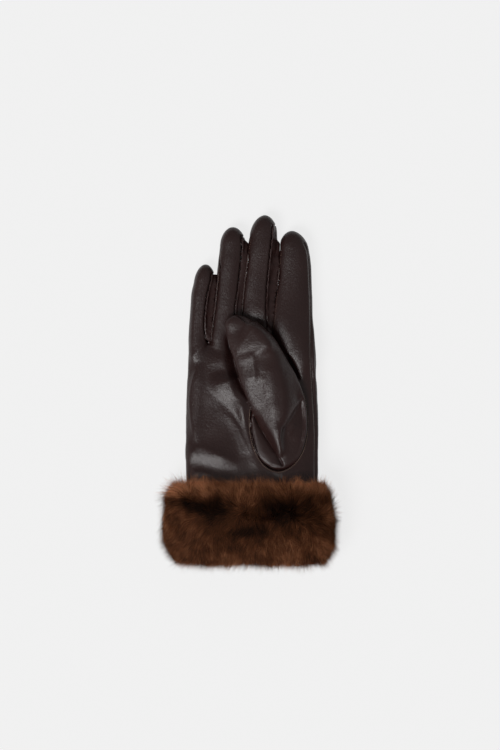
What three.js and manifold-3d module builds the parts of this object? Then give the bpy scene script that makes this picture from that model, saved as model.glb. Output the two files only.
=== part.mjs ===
// A right-hand leather dress glove with a deep fur cuff, lying on its back with the palm up.
// Millimetres, +Z up. The floor is z = 0, the fingers point along +Y and the cuff opens along -Y.
import * as THREE from "three";
import { mergeVertices } from "three/addons/utils/BufferGeometryUtils.js";
import Module from "manifold-3d";

const wasm = await Module();
wasm.setup();

// Leather and seams
const LEATHER = 1.5; // thickness of every leather wall
const SEAM_GAP = 0.3; // clearance between two pieces that are sewn edge to edge
const REST_GAP = 0.4; // clearance where the thumb lies on the palm
const COARSE_ROOM = 0.3; // what a coarsely divided surface may lie inside the true one
const OVAL_SQUARENESS = 2.35; // 2 is an ellipse, more is squarer

// How finely the leather is divided: sides of each oval, and steps between ovals
const OUTER = {
  handSides: 26,
  fingerSides: 14,
  thumbSides: 20,
  handStep: 9,
  fingerStep: 12,
  thumbStep: 8,
  tipRings: 3,
};
const INNER = {
  handSides: 18,
  fingerSides: 10,
  thumbSides: 16,
  handStep: 12,
  fingerStep: 26,
  thumbStep: 10,
  tipRings: 1,
};
const TIP_ROUNDNESS = 0.55; // power in the falling width of a fingertip

// Fur
const PELT = 2; // thickness of the cuff's backing
const UNDERFUR = 0.78; // how far the dense fur reaches from the backing to the hair tips
const CUFF_SIDES = 18;
const LOCKS_ROUND = 15; // locks in one row
const LOCK_UNEVEN = 0.22; // how far a lock's tip strays sideways, in halves of a lock
const LOCK_LENGTH_UNEVEN = 0.07; // how much longer or shorter a lock may be

const LEATHER_MATERIAL = { color: 0x2e2320, roughness: 0.42, metalness: 0 };
const GUSSET_MATERIAL = { color: 0x281f1c, roughness: 0.48, metalness: 0 };
const FUR_MATERIAL = { color: 0x47281a, roughness: 0.9, metalness: 0 };

function table(columns, rows) {
  return rows.map((row) => Object.fromEntries(columns.map((name, i) => [name, row[i]])));
}

// The hand from the wrist to the knuckles: side edges, underside and top along its length
const HAND = table(["y", "left", "right", "low", "top"], [
  [-74, -43.2, 47.6, 6.5, 21.0],
  [-64, -43.4, 47.8, 5.2, 20.8],
  [-50, -43.8, 48.0, 2.2, 20.0],
  [-34, -43.8, 48.1, -0.2, 18.6],
  [-16, -43.8, 48.0, -1.0, 17.4],
  [0, -43.3, 47.9, -1.2, 16.6],
  [13, -43.0, 47.3, -1.2, 16.0],
  [26, -42.3, 46.2, -1.0, 15.0],
  [34.5, -39.5, 43.0, 0.4, 11.6],
]);

// Each finger: side edges and top along its length, and its tip
const FINGER_COLUMNS = ["y", "left", "right", "low", "top"];
const FINGERS = {
  little: {
    rows: table(FINGER_COLUMNS, [
      [2, -39.0, -24.0, 4.0, 11.0],
      [18, -41.8, -24.6, 1.0, 13.4],
      [34, -42.3, -27.6, -1.0, 13.8],
      [46, -41.6, -26.9, -1.0, 13.4],
      [58, -40.9, -25.6, -1.0, 13.2],
      [68, -40.2, -24.5, -1.0, 13.0],
      [76, -38.3, -23.5, -1.0, 12.6],
    ]),
    tip: { x: -29.8, y: 88.8 },
  },
  ring: {
    rows: table(FINGER_COLUMNS, [
      [2, -26.0, -7.0, 4.0, 11.5],
      [20, -26.0, -6.2, 1.0, 14.2],
      [36, -27.6, -6.1, -1.0, 14.8],
      [46, -26.1, -6.7, -1.0, 14.6],
      [60, -24.4, -6.0, -1.0, 14.3],
      [76, -22.8, -4.6, -1.0, 14.0],
      [90, -21.4, -3.0, -1.0, 13.8],
      [101, -20.0, -1.5, -1.0, 13.2],
    ]),
    tip: { x: -11.1, y: 114.9 },
  },
  middle: {
    rows: table(FINGER_COLUMNS, [
      [2, -6.5, 15.5, 4.0, 12.0],
      [22, -7.0, 16.6, 1.0, 14.8],
      [42, -6.6, 15.4, -1.0, 15.2],
      [60, -5.2, 17.0, -1.0, 14.9],
      [76, -3.8, 18.5, -1.0, 14.6],
      [90, -2.2, 19.9, -1.0, 14.3],
      [101, -0.6, 20.5, -1.0, 14.0],
      [109.5, 1.0, 20.1, -1.0, 13.4],
    ]),
    tip: { x: 11.6, y: 123.4 },
  },
  index: {
    rows: table(FINGER_COLUMNS, [
      [2, 17.0, 44.0, 4.0, 12.0],
      [20, 16.2, 46.2, 1.0, 14.8],
      [38, 15.2, 45.4, -1.0, 15.0],
      [50, 17.0, 44.6, -1.0, 14.9],
      [64, 18.3, 44.1, -1.0, 14.7],
      [80, 19.8, 43.6, -1.0, 14.4],
      [92, 21.0, 43.1, -1.0, 14.1],
      [98.5, 21.9, 42.2, -1.0, 13.7],
    ]),
    tip: { x: 30.6, y: 112.3 },
  },
};

// The gusset strips between the fingers. On the finger at its left a strip shows from seam to edge.
// On the finger at its right it is a low side band.
const GUSSET_LOW = 3; // underside of a strip
const GUSSET_HIGH = 9; // top of the side band
const GUSSET_BAND_DEPTH = 4; // how far the side band reaches into its finger
const GUSSET_FADE = 14; // length over which the side band narrows to its end
const GUSSET_LEAST = 0.12; // the share of its height that it keeps there
const GUSSET_STEP = 7.5;
const WELD = 0.02; // what two joined solids overlap
const GUSSETS = [
  {
    name: "fourchette_little_ring",
    left: "little",
    right: "ring",
    crotch: 33,
    seam: table(["y", "x"], [
      [33, -29.2],
      [46, -30.8],
      [56, -30.3],
      [68, -28.6],
      [76, -26.5],
      [81.5, -25.7],
    ]),
    rightEnd: 100,
  },
  {
    name: "fourchette_ring_middle",
    left: "ring",
    right: "middle",
    crotch: 41.5,
    seam: table(["y", "x"], [
      [41.5, -8.2],
      [56, -9.2],
      [69, -7.6],
      [87, -5.3],
      [100, -4.4],
      [107.5, -4.7],
    ]),
    rightEnd: 108,
  },
  {
    name: "fourchette_middle_index",
    left: "middle",
    right: "index",
    crotch: 38,
    seam: table(["y", "x"], [
      [38, 14.0],
      [56, 12.4],
      [69, 12.8],
      [82, 13.8],
      [96, 15.2],
      [107, 16.4],
      [115.5, 16.9],
    ]),
    rightEnd: 98,
  },
];

// The sewn seam that joins palm and back along the index-finger side
const SIDE_SEAM = table(["y", "x", "low"], [
  [-76, 46.2, 13.5],
  [-50, 46.2, 11.5],
  [-28, 46.2, 9.5],
  [6, 44.6, 8.0],
  [24, 43.6, 7.5],
  [42, 43.4, 7.5],
  [60, 43.1, 7.5],
  [78, 42.4, 7.5],
  [96, 41.4, 7.5],
]);
const SIDE_SEAM_WIDTH = 0.8;
const SIDE_SEAM_DEPTH = 0.5;

// The thumb from the lowest point of its seam to its last full round: middle of its run, half width, top
const THUMB = table(["x", "y", "half", "top"], [
  [20.8, -54.2, 6.6, 21.2],
  [21.0, -50.6, 11.6, 21.8],
  [21.2, -44, 16.2, 22.8],
  [21.1, -35, 19.0, 24.2],
  [21.1, -24, 20.1, 25.6],
  [20.9, -12, 19.3, 26.7],
  [17.0, -0.5, 18.9, 27.6],
  [12.3, 10, 18.3, 28.0],
  [5.2, 25.2, 16.1, 27.6],
  [-1.1, 36, 13.3, 26.4],
  [-4.9, 43.6, 11.3, 25.0],
]);
const THUMB_START = { x: 20.7, y: -56.8 };
const THUMB_TIP = { x: -8.6, y: 53.0 };
const THUMB_RIM = 12; // how deep the thumb's sewn edge stands in the hand's hole
const THUMB_LOW = 13.6; // underside of the free part, before the palm shapes it
const THUMB_SPACING = 1.3; // sections stand closer together near the seam
const THUMB_FREEING = [-26, 6]; // between these it turns from sewn in to free
const THUMB_SEAM_SQUARENESS = 9; // its sewn part stands upright in the hole
const THUMB_SHOULDER = { belowPalm: 1, belowTop: 2 }; // where its sides begin to turn over
const THUMB_PASSAGE_TOP = THUMB_LOW + 5; // the way from the palm into the thumb is cut up to here

// The oval hole that the thumb is sewn into
const THUMB_HOLE = table(["x", "y"], [
  [20.6, -55.9],
  [12.6, -52.7],
  [7.0, -45.4],
  [3.6, -36.5],
  [1.9, -26],
  [2.2, -13.7],
  [4.6, -1],
  [10.5, 10],
  [20.5, 14.5],
  [30.0, 10.5],
  [35.8, 1.5],
  [39.2, -9.0],
  [40.4, -23.9],
  [39.1, -35.8],
  [35.6, -45.4],
  [29.0, -52.7],
]);
const HOLE_POINTS = 40;

// Where the leather parts into a palm side and a back side, all the way round
const PARTING = table(["y", "z"], [
  [-80, 9.8],
  [-74, 9.05],
  [-64, 7.75],
  [-57, 6.25],
  [-50, 4.75],
  [-40, 3.25],
  [-32, GUSSET_LOW - SEAM_GAP / 2],
  [130, GUSSET_LOW - SEAM_GAP / 2],
]);

// The palm side parts again across the root of each finger, just past the gussets beside it
const FINGER_PARTING = { little: 34, ring: 42.5, middle: 42.5, index: 39 };

// Soft folds, each a ridge (height over 0) or a valley (under 0) from one end to the other
const FOLD_COLUMNS = ["fromX", "fromY", "toX", "toY", "width", "height"];
const HAND_FOLDS = table(FOLD_COLUMNS, [
  [-6.5, -6, 5.0, -50, 3.4, 1.3],
  [-12, -19, -3, -42, 2.6, 0.8],
  [-24, 3, -14, -13, 7.0, 1.2],
  [-35, 16, -37.5, -32, 3.4, 0.8],
  [-36, -44, -12, -49, 3.4, 1.1],
  [-34, -53, -12, -57, 3.6, -0.8],
  [42, 4, 44, -20, 2.6, 0.5],
]);
const THUMB_FOLDS = table(FOLD_COLUMNS, [
  [3.5, -17, 22, -46, 3.2, -2.4],
  [15, 12, 22, -44, 5.0, 1.2],
  [35, -8, 25, -26, 3.2, -1.8],
  [5, -24, 15, -50, 2.0, 0.6],
]);

const FAR = 200; // beyond the glove on every side
const OVER_ALL = 60; // higher than the glove

// The cuff's hollow along its length
const CUFF_HOLLOW = table(["y", "left", "right", "low", "top"], [
  [-63.5, -43.9, 48.3, 4.7, 21.4],
  [-74, -43.8, 48.2, 6.0, 21.6],
  [-96, -44.2, 48.4, 6.4, 22.0],
  [-118, -44.6, 48.8, 6.4, 22.4],
]);

// The outer form that the tips of the fur reach
const CUFF_FUR = table(["y", "left", "right", "low", "top"], [
  [-61.5, -50.5, 51.5, -1, 28.0],
  [-66, -55.2, 55.6, -2, 32.5],
  [-72, -58.0, 57.4, -2.4, 34.6],
  [-80, -60.2, 59.2, -2.6, 35.8],
  [-96, -60.8, 60.8, -2.6, 36.4],
  [-105, -59.6, 60.2, -2.6, 35.8],
  [-113, -57.2, 58.6, -2.2, 34.0],
  [-118, -53.4, 55.0, -1.6, 31.2],
  [-121.6, -47.0, 49.0, 0, 27.0],
]);

// The dense fur under the locks: how much of it there is along the cuff
const FUR_MASS = table(["y", "share"], [
  [-64, 0.43],
  [-68, UNDERFUR],
  [-78, UNDERFUR],
  [-92, UNDERFUR],
  [-106, UNDERFUR],
  [-114, UNDERFUR],
  [-118.5, 0.43],
]);

// Rows of fur locks: where each row roots along the cuff and where its tips lie
const FUR_ROWS = table(["rootY", "tipY"], [
  [-76, -61.6],
  [-84, -72],
  [-82, -95],
  [-92, -108],
  [-104, -121.6],
]);

// The section of a lock at its tip and at the notch beside it: share of its length, height in the fur
const LOCK_RINGS = table(["tipAlong", "tipHeight", "notchAlong", "notchHeight"], [
  [0, UNDERFUR - 0.06, 0, UNDERFUR - 0.06],
  [0.55, 0.99, 0.55, 0.88],
  [1, 0.99, 0.62, 0.84],
  [0.45, UNDERFUR - 0.2, 0.45, UNDERFUR - 0.2],
]);

const clamp = THREE.MathUtils.clamp;
const lerp = THREE.MathUtils.lerp;

function signedPower(value, power) {
  return Math.sign(value) * Math.abs(value) ** power;
}

// A column of a table at any place along it, on a smooth curve through the rows
function valueAt(rows, column, at, key = "y") {
  const rising = rows[rows.length - 1][key] > rows[0][key] ? 1 : -1;
  const last = rows.length - 2;
  let i = 0;
  while (i < last && (at - rows[i + 1][key]) * rising > 0) i += 1;
  const [a, b] = [rows[i], rows[i + 1]];
  const before = rows[Math.max(i - 1, 0)];
  const after = rows[Math.min(i + 2, rows.length - 1)];
  const span = b[key] - a[key];
  const t = clamp((at - a[key]) / span, 0, 1);
  const slopeA = (b[column] - before[column]) / (b[key] - before[key]);
  const slopeB = (after[column] - a[column]) / (after[key] - a[key]);
  const t2 = t * t;
  const t3 = t2 * t;
  return (
    (2 * t3 - 3 * t2 + 1) * a[column] +
    (t3 - 2 * t2 + t) * span * slopeA +
    (3 * t2 - 2 * t3) * b[column] +
    (t3 - t2) * span * slopeB
  );
}

// Even places from one end of a run to the other, about a step apart
function placesAlong(from, to, step) {
  const count = Math.max(1, Math.round(Math.abs(to - from) / step));
  return Array.from({ length: count + 1 }, (_, i) => lerp(from, to, i / count));
}

// Height of all the folds at a point of the leather seen from above
function foldHeight(folds, x, y) {
  let height = 0;
  for (const fold of folds) {
    const runX = fold.toX - fold.fromX;
    const runY = fold.toY - fold.fromY;
    const along = ((x - fold.fromX) * runX + (y - fold.fromY) * runY) / (runX ** 2 + runY ** 2);
    const t = clamp(along, 0, 1);
    const away = Math.hypot(x - fold.fromX - runX * t, y - fold.fromY - runY * t);
    height += fold.height * Math.exp(-((away / fold.width) ** 2));
  }
  return height;
}

// One oval round a run that goes along (forwardX, forwardY), upright across it
function ovalRing(section, sides) {
  const { x, y, half, low, top } = section;
  const { forwardX = 0, forwardY = 1, folds = [], middle = (low + top) / 2 } = section;
  const { lowerSquareness = OVAL_SQUARENESS } = section;
  const ring = [];
  for (let i = 0; i < sides; i += 1) {
    const angle = (2 * Math.PI * i) / sides;
    const lower = Math.sin(angle) < 0;
    const power = 2 / (lower ? lowerSquareness : OVAL_SQUARENESS);
    const across = half * signedPower(Math.cos(angle), power);
    const rise = signedPower(Math.sin(angle), power);
    const px = x + across * forwardY;
    const py = y - across * forwardX;
    const reach = lower ? middle - low : top - middle;
    const fold = foldHeight(folds, px, py) * Math.max(0, Math.sin(angle)) ** 0.5;
    ring.push(new THREE.Vector3(px, py, middle + reach * rise + fold));
  }
  return ring;
}

function solidOf(points, triangles) {
  const vertProperties = new Float32Array(points.flatMap((p) => [p.x, p.y, p.z]));
  const triVerts = new Uint32Array(triangles.flat());
  return new wasm.Manifold(new wasm.Mesh({ numProp: 3, vertProperties, triVerts }));
}

// The same, turned so that its faces point outwards
function outwards(points, triangles) {
  const made = solidOf(points, triangles);
  if (made.volume() > 0) return made;
  return solidOf(points, triangles.map(([a, b, c]) => [a, c, b]));
}

function centreOf(ring) {
  const sum = ring.reduce((total, p) => total.add(p), new THREE.Vector3());
  return sum.divideScalar(ring.length);
}

// A closed solid through rings of equal size, each end closed on a point
function loft(rings, startPoint = centreOf(rings[0]), endPoint = centreOf(rings[rings.length - 1])) {
  const sides = rings[0].length;
  const points = [...rings.flat(), startPoint, endPoint];
  const start = points.length - 2;
  const end = points.length - 1;
  const lastRing = (rings.length - 1) * sides;
  const triangles = [];
  for (let i = 0; i < sides; i += 1) {
    const next = (i + 1) % sides;
    triangles.push([start, next, i], [end, lastRing + i, lastRing + next]);
    for (let r = 0; r < rings.length - 1; r += 1) {
      const near = r * sides;
      const far = near + sides;
      triangles.push([near + i, near + next, far + next], [near + i, far + next, far + i]);
    }
  }
  return outwards(points, triangles);
}

// A closed ring-shaped solid: each ring joins the next, and the last joins the first
function loopLoft(rings) {
  const sides = rings[0].length;
  const triangles = [];
  rings.forEach((_, r) => {
    const near = r * sides;
    const far = ((r + 1) % rings.length) * sides;
    for (let i = 0; i < sides; i += 1) {
      const next = (i + 1) % sides;
      triangles.push([near + i, near + next, far + next], [near + i, far + next, far + i]);
    }
  });
  return outwards(rings.flat(), triangles);
}

// A three.js geometry as a solid
function solidOfGeometry(geometry) {
  const bare = geometry.index ? geometry.toNonIndexed() : geometry.clone();
  bare.deleteAttribute("normal");
  bare.deleteAttribute("uv");
  const merged = mergeVertices(bare);
  const vertProperties = merged.attributes.position.array;
  const triVerts = new Uint32Array(merged.index.array);
  return new wasm.Manifold(new wasm.Mesh({ numProp: 3, vertProperties, triVerts }));
}

function box(low, high) {
  const size = high.map((value, i) => value - low[i]);
  const geometry = new THREE.BoxGeometry(...size);
  geometry.translate(...low.map((value, i) => value + size[i] / 2));
  return solidOfGeometry(geometry);
}

function joined(solids) {
  return solids.reduce((whole, next) => whole.add(next));
}

const above = (height) => box([-FAR, -FAR, height], [FAR, FAR, FAR]);

// Rings that close a round tip, from the last full section to the tip
function tipSections(last, tip, count) {
  return Array.from({ length: count }, (_, i) => {
    const t = Math.sin(((i + 1) / (count + 1)) * (Math.PI / 2));
    const scale = (1 - t * t) ** TIP_ROUNDNESS;
    const middle = (last.low + last.top) / 2;
    const reach = (last.top - middle) * scale ** 0.8; // a tip stays fuller than it is wide
    return {
      ...last,
      x: lerp(last.x, tip.x, t),
      y: lerp(last.y, tip.y, t),
      half: last.half * scale,
      low: middle - reach,
      top: middle + reach,
    };
  });
}

// One finger as a solid tube, grown outwards by grow (or inwards, under 0)
function fingerSolid(finger, grow, detail) {
  const { rows, tip } = finger;
  const sections = placesAlong(rows[0].y, rows[rows.length - 1].y, detail.fingerStep).map((y) => {
    const left = valueAt(rows, "left", y) - grow;
    const right = valueAt(rows, "right", y) + grow;
    return {
      x: (left + right) / 2,
      y,
      half: (right - left) / 2,
      low: valueAt(rows, "low", y) - grow,
      top: valueAt(rows, "top", y) + grow,
    };
  });
  const last = sections[sections.length - 1];
  const end = { x: tip.x, y: tip.y + grow };
  sections.push(...tipSections(last, end, detail.tipRings));
  const rings = sections.map((section) => ovalRing(section, detail.fingerSides));
  const tipHeight = (last.low + last.top) / 2;
  return loft(rings, undefined, new THREE.Vector3(end.x, end.y, tipHeight));
}

// Palm and back without the fingers, grown outwards by grow
function handSolid(grow, wristEnd, detail) {
  const last = HAND[HAND.length - 1].y;
  const rings = placesAlong(wristEnd, last + grow, detail.handStep).map((y) => {
    const at = (column) => valueAt(HAND, column, y - (y > 0 ? grow : 0));
    const left = at("left") - grow;
    const right = at("right") + grow;
    const half = (right - left) / 2;
    const section = { x: (left + right) / 2, y, half, low: at("low") - grow, top: at("top") + grow };
    return ovalRing({ ...section, folds: HAND_FOLDS }, detail.handSides);
  });
  return loft(rings);
}

// The whole glove without its thumb, flat where it rests
function gloveForm(grow, wristEnd, detail = OUTER) {
  const fingers = Object.values(FINGERS).map((finger) => fingerSolid(finger, grow, detail));
  return joined([handSolid(grow, wristEnd, detail), ...fingers]).intersect(above(Math.max(0, -grow)));
}

// The thumb hole's outline as an upright solid, moved outwards by grow
function holeSolid(grow, low, high) {
  const corners = THUMB_HOLE.map(({ x, y }) => new THREE.Vector3(x, y, 0));
  const curve = new THREE.CatmullRomCurve3(corners, true, "centripetal");
  const outline = Array.from({ length: HOLE_POINTS }, (_, i) => curve.getPointAt(i / HOLE_POINTS));
  const centre = centreOf(outline);
  const rings = [low, high].map((z) =>
    outline.map((point) => {
      const away = point.clone().sub(centre).normalize();
      return point.clone().addScaledVector(away, grow).setZ(z);
    }),
  );
  return loft(rings);
}

// The thumb as a solid, grown outwards by grow
function thumbSolid(grow, detail) {
  const lengths = [0];
  THUMB.slice(1).forEach((row, i) => {
    lengths.push(lengths[i] + Math.hypot(row.x - THUMB[i].x, row.y - THUMB[i].y));
  });
  const rows = THUMB.map((row, i) => ({ ...row, along: lengths[i] }));
  const total = lengths[lengths.length - 1];
  const sections = placesAlong(0, 1, detail.thumbStep / total).map((share) => {
    const along = total * share ** THUMB_SPACING;
    const at = (column, place = along) => valueAt(rows, column, place, "along");
    const ahead = Math.min(along + 1, total);
    const behind = Math.max(along - 1, 0);
    const forwardX = at("x", ahead) - at("x", behind);
    const forwardY = at("y", ahead) - at("y", behind);
    const forward = new THREE.Vector2(forwardX, forwardY).normalize();
    const free = THREE.MathUtils.smoothstep(at("y"), ...THUMB_FREEING);
    const low = lerp(THUMB_RIM, THUMB_LOW, free) - grow;
    const top = at("top") + grow;
    const seamHeight = Math.min(
      valueAt(HAND, "top", at("y")) - THUMB_SHOULDER.belowPalm,
      at("top") - THUMB_SHOULDER.belowTop,
    );
    return {
      x: at("x"),
      y: at("y"),
      half: at("half") + grow,
      low,
      top,
      middle: lerp(seamHeight, (low + top) / 2, free),
      lowerSquareness: lerp(THUMB_SEAM_SQUARENESS, OVAL_SQUARENESS, free),
      forwardX: forward.x,
      forwardY: forward.y,
      folds: THUMB_FOLDS,
    };
  });
  const last = sections[sections.length - 1];
  const tip = { x: THUMB_TIP.x, y: THUMB_TIP.y + grow };
  sections.push(...tipSections(last, tip, detail.tipRings));
  const rings = sections.map((section) => ovalRing(section, detail.thumbSides));
  const first = sections[0];
  const start = new THREE.Vector3(THUMB_START.x, THUMB_START.y - grow, (first.low + first.top) / 2);
  return loft(rings, start, new THREE.Vector3(tip.x, tip.y, (last.low + last.top) / 2));
}

// An upright ribbon along a seam, used to cut a groove
function seamRibbon(rows, width) {
  const rings = rows.map(({ x, y, low }) => [
    new THREE.Vector3(x - width / 2, y, low),
    new THREE.Vector3(x + width / 2, y, low),
    new THREE.Vector3(x + width / 2, y, OVER_ALL),
    new THREE.Vector3(x - width / 2, y, OVER_ALL),
  ]);
  return loft(rings);
}

// A solid between four bounds that change along its length, grown by grow at both ends
function slab({ from, to, grow, lowX, highX, low, high }) {
  const places = placesAlong(from, to, GUSSET_STEP);
  const rings = places.map((place, i) => {
    const atStart = i === 0 ? grow : 0;
    const atEnd = i === places.length - 1 ? grow : 0;
    const y = place - atStart + atEnd;
    return [
      new THREE.Vector3(lowX(place), y, low(place)),
      new THREE.Vector3(highX(place), y, low(place)),
      new THREE.Vector3(highX(place), y, high(place)),
      new THREE.Vector3(lowX(place), y, high(place)),
    ];
  });
  return loft(rings);
}

// The line halfway between the two fingers that a gusset joins
function betweenFingers(gusset) {
  const leftEdge = (y) => valueAt(FINGERS[gusset.left].rows, "right", y);
  const rightEdge = (y) => valueAt(FINGERS[gusset.right].rows, "left", y);
  return (y) => (leftEdge(y) + rightEdge(y)) / 2;
}

// The space that a gusset strip takes out of the leather of two fingers, grown outwards by grow
function gussetSpace(gusset, grow) {
  const rightEdge = (y) => valueAt(FINGERS[gusset.right].rows, "left", y);
  const between = betweenFingers(gusset);
  const leftPart = slab({
    from: gusset.crotch,
    to: gusset.seam[gusset.seam.length - 1].y,
    grow,
    lowX: (y) => valueAt(gusset.seam, "x", y) - grow,
    highX: (y) => between(y) + WELD,
    low: () => GUSSET_LOW - grow,
    high: () => OVER_ALL,
  });
  const fade = (y) => clamp((gusset.rightEnd - y) / GUSSET_FADE, GUSSET_LEAST, 1);
  const bandMiddle = (GUSSET_LOW + GUSSET_HIGH) / 2;
  const bandHalf = (GUSSET_HIGH - GUSSET_LOW) / 2;
  const rightPart = slab({
    from: gusset.crotch,
    to: gusset.rightEnd,
    grow,
    lowX: (y) => between(y) - WELD,
    highX: (y) => rightEdge(y) + GUSSET_BAND_DEPTH + grow,
    low: (y) => bandMiddle - bandHalf * fade(y) - grow,
    high: (y) => bandMiddle + bandHalf * fade(y) + grow,
  });
  return leftPart.add(rightPart);
}

// Palm, back and fingers as one hollow piece of leather
function makeShell() {
  const wristEnd = HAND[0].y;
  return gloveForm(0, wristEnd).subtract(gloveForm(-LEATHER, wristEnd - 2, INNER));
}

// Everything over the parting, moved up by rise
function overParting(rise) {
  const rings = PARTING.map(({ y, z }) => [
    new THREE.Vector3(-FAR, y, z + rise),
    new THREE.Vector3(FAR, y, z + rise),
    new THREE.Vector3(FAR, y, OVER_ALL),
    new THREE.Vector3(-FAR, y, OVER_ALL),
  ]);
  return loft(rings);
}

function makeBackPanel(shell) {
  return shell.subtract(overParting(-SEAM_GAP / 2));
}

// The space round one finger, between the gussets beside it, from a place along the glove on
function roundFinger(name, from) {
  const leftGusset = GUSSETS.find((gusset) => gusset.right === name);
  const rightGusset = GUSSETS.find((gusset) => gusset.left === name);
  return slab({
    from,
    to: FAR,
    grow: 0,
    lowX: leftGusset ? betweenFingers(leftGusset) : () => -FAR,
    highX: rightGusset ? betweenFingers(rightGusset) : () => FAR,
    low: () => 0,
    high: () => OVER_ALL,
  });
}

// The palm side with the fronts of the fingers still on it
function makePalmSide(shell) {
  let panel = shell.intersect(overParting(SEAM_GAP / 2));
  panel = panel.subtract(holeSolid(SEAM_GAP, THUMB_RIM - 3, OVER_ALL));
  for (const gusset of GUSSETS) panel = panel.subtract(gussetSpace(gusset, SEAM_GAP));
  const sunk = gloveForm(-SIDE_SEAM_DEPTH, HAND[0].y - 1);
  const groove = seamRibbon(SIDE_SEAM, SIDE_SEAM_WIDTH).subtract(sunk);
  return panel.subtract(groove);
}

function makeThumb() {
  const wristEnd = HAND[0].y - 4;
  const insideHole = (grow) => holeSolid(grow, -OVER_ALL, OVER_ALL);
  const palmForOuter = gloveForm(REST_GAP, wristEnd).subtract(insideHole(0));
  const innerPalm = gloveForm(REST_GAP + LEATHER + COARSE_ROOM, wristEnd, INNER);
  const palmForInner = innerPalm.subtract(insideHole(-LEATHER));
  const outer = thumbSolid(0, OUTER).subtract(palmForOuter);
  const inner = thumbSolid(-LEATHER, INNER).subtract(palmForInner);
  const passage = holeSolid(-LEATHER, 0, THUMB_PASSAGE_TOP);
  return outer.subtract(inner).subtract(passage);
}

// The piece itself, without the slivers that cutting leaves loose beside it
function largest(solid) {
  return solid.decompose().sort((a, b) => b.volume() - a.volume())[0];
}

// An oval of the cuff at one place, part of the way from its backing to the fur tips
function cuffSection(y, share) {
  const at = (column, side) => {
    const backing = valueAt(CUFF_HOLLOW, column, y) + side * PELT;
    return lerp(backing, valueAt(CUFF_FUR, column, y), share);
  };
  const left = at("left", -1);
  const right = at("right", 1);
  return { x: (left + right) / 2, y, half: (right - left) / 2, low: at("low", -1), top: at("top", 1) };
}

// A point on such an oval, at an angle round the cuff
function cuffPoint(y, share, angle) {
  const section = cuffSection(y, share);
  const power = 2 / OVAL_SQUARENESS;
  const middle = (section.low + section.top) / 2;
  return new THREE.Vector3(
    section.x + section.half * signedPower(Math.cos(angle), power),
    y,
    middle + (section.top - middle) * signedPower(Math.sin(angle), power),
  );
}

// The angle at an even share of the way round the cuff, measured along its oval
function evenAngle(share) {
  const steps = 360;
  const middleOfCuff = -92;
  const places = Array.from({ length: steps + 1 }, (_, i) => (2 * Math.PI * i) / steps);
  const points = places.map((angle) => cuffPoint(middleOfCuff, 1, angle));
  const lengths = [0];
  for (let i = 0; i < steps; i += 1) lengths.push(lengths[i] + points[i].distanceTo(points[i + 1]));
  const wanted = (((share % 1) + 1) % 1) * lengths[steps];
  const i = lengths.findIndex((length) => length > wanted) - 1;
  return (2 * Math.PI * (i + (wanted - lengths[i]) / (lengths[i + 1] - lengths[i]))) / steps;
}

// One row of pointed locks side by side round the cuff, rooted in the dense fur
function lockRow(row, number) {
  const count = 2 * LOCKS_ROUND;
  const rings = LOCK_RINGS.map(() => []);
  for (let i = 0; i < count; i += 1) {
    const isTip = i % 2 === 0;
    const uneven = Math.sin(i * 1.9 + number * 2.3);
    const angle = evenAngle((i + (number % 2) + LOCK_UNEVEN * uneven) / count);
    LOCK_RINGS.forEach((ring, r) => {
      const length = isTip ? ring.tipAlong * (1 + LOCK_LENGTH_UNEVEN * uneven) : ring.notchAlong;
      const height = isTip ? ring.tipHeight : ring.notchHeight;
      rings[r].push(cuffPoint(lerp(row.rootY, row.tipY, length), height, angle));
    });
  }
  return loopLoft(rings);
}

function makeCuff() {
  const mass = loft(FUR_MASS.map(({ y, share }) => ovalRing(cuffSection(y, share), CUFF_SIDES)));
  const hollowPlaces = [-60, -74, -96, -122]; // past both mouths of the cuff
  const hollow = loft(
    hollowPlaces.map((y) => {
      const at = (column) => valueAt(CUFF_HOLLOW, column, y);
      const half = (at("right") - at("left")) / 2;
      const middle = (at("right") + at("left")) / 2;
      return ovalRing({ x: middle, y, half, low: at("low"), top: at("top") }, CUFF_SIDES);
    }),
  );
  const leatherSpace = gloveForm(SEAM_GAP, HAND[0].y - 1);
  const locks = FUR_ROWS.map(lockRow);
  return joined([mass, ...locks]).subtract(hollow).subtract(leatherSpace).intersect(above(0));
}

function meshOf(name, solid, finish) {
  const made = largest(solid).getMesh();
  const geometry = new THREE.BufferGeometry();
  geometry.setAttribute("position", new THREE.BufferAttribute(made.vertProperties, 3));
  geometry.setIndex(new THREE.BufferAttribute(made.triVerts, 1));
  geometry.computeVertexNormals();
  const mesh = new THREE.Mesh(geometry, new THREE.MeshStandardMaterial({ ...finish, flatShading: true }));
  mesh.name = name;
  return mesh;
}

const glove = new THREE.Group();
glove.name = "glove";
const shell = makeShell();
glove.add(meshOf("back_panel", makeBackPanel(shell), LEATHER_MATERIAL));
let palmPanel = makePalmSide(shell);
for (const [name, y] of Object.entries(FINGER_PARTING)) {
  const front = palmPanel.intersect(roundFinger(name, y + SEAM_GAP / 2));
  palmPanel = palmPanel.subtract(roundFinger(name, y - SEAM_GAP / 2));
  glove.add(meshOf(`${name}_finger_front`, front, LEATHER_MATERIAL));
}
glove.add(meshOf("palm_panel", palmPanel, LEATHER_MATERIAL));
glove.add(meshOf("thumb", makeThumb(), LEATHER_MATERIAL));
for (const gusset of GUSSETS) {
  glove.add(meshOf(gusset.name, shell.intersect(gussetSpace(gusset, 0)), GUSSET_MATERIAL));
}
glove.add(meshOf("fur_cuff", makeCuff(), FUR_MATERIAL));

export default glove;
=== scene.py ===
import math
from contextlib import contextmanager

import bmesh
import bpy
import numpy as np
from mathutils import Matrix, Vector, kdtree
from mathutils.bvhtree import BVHTree


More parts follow.
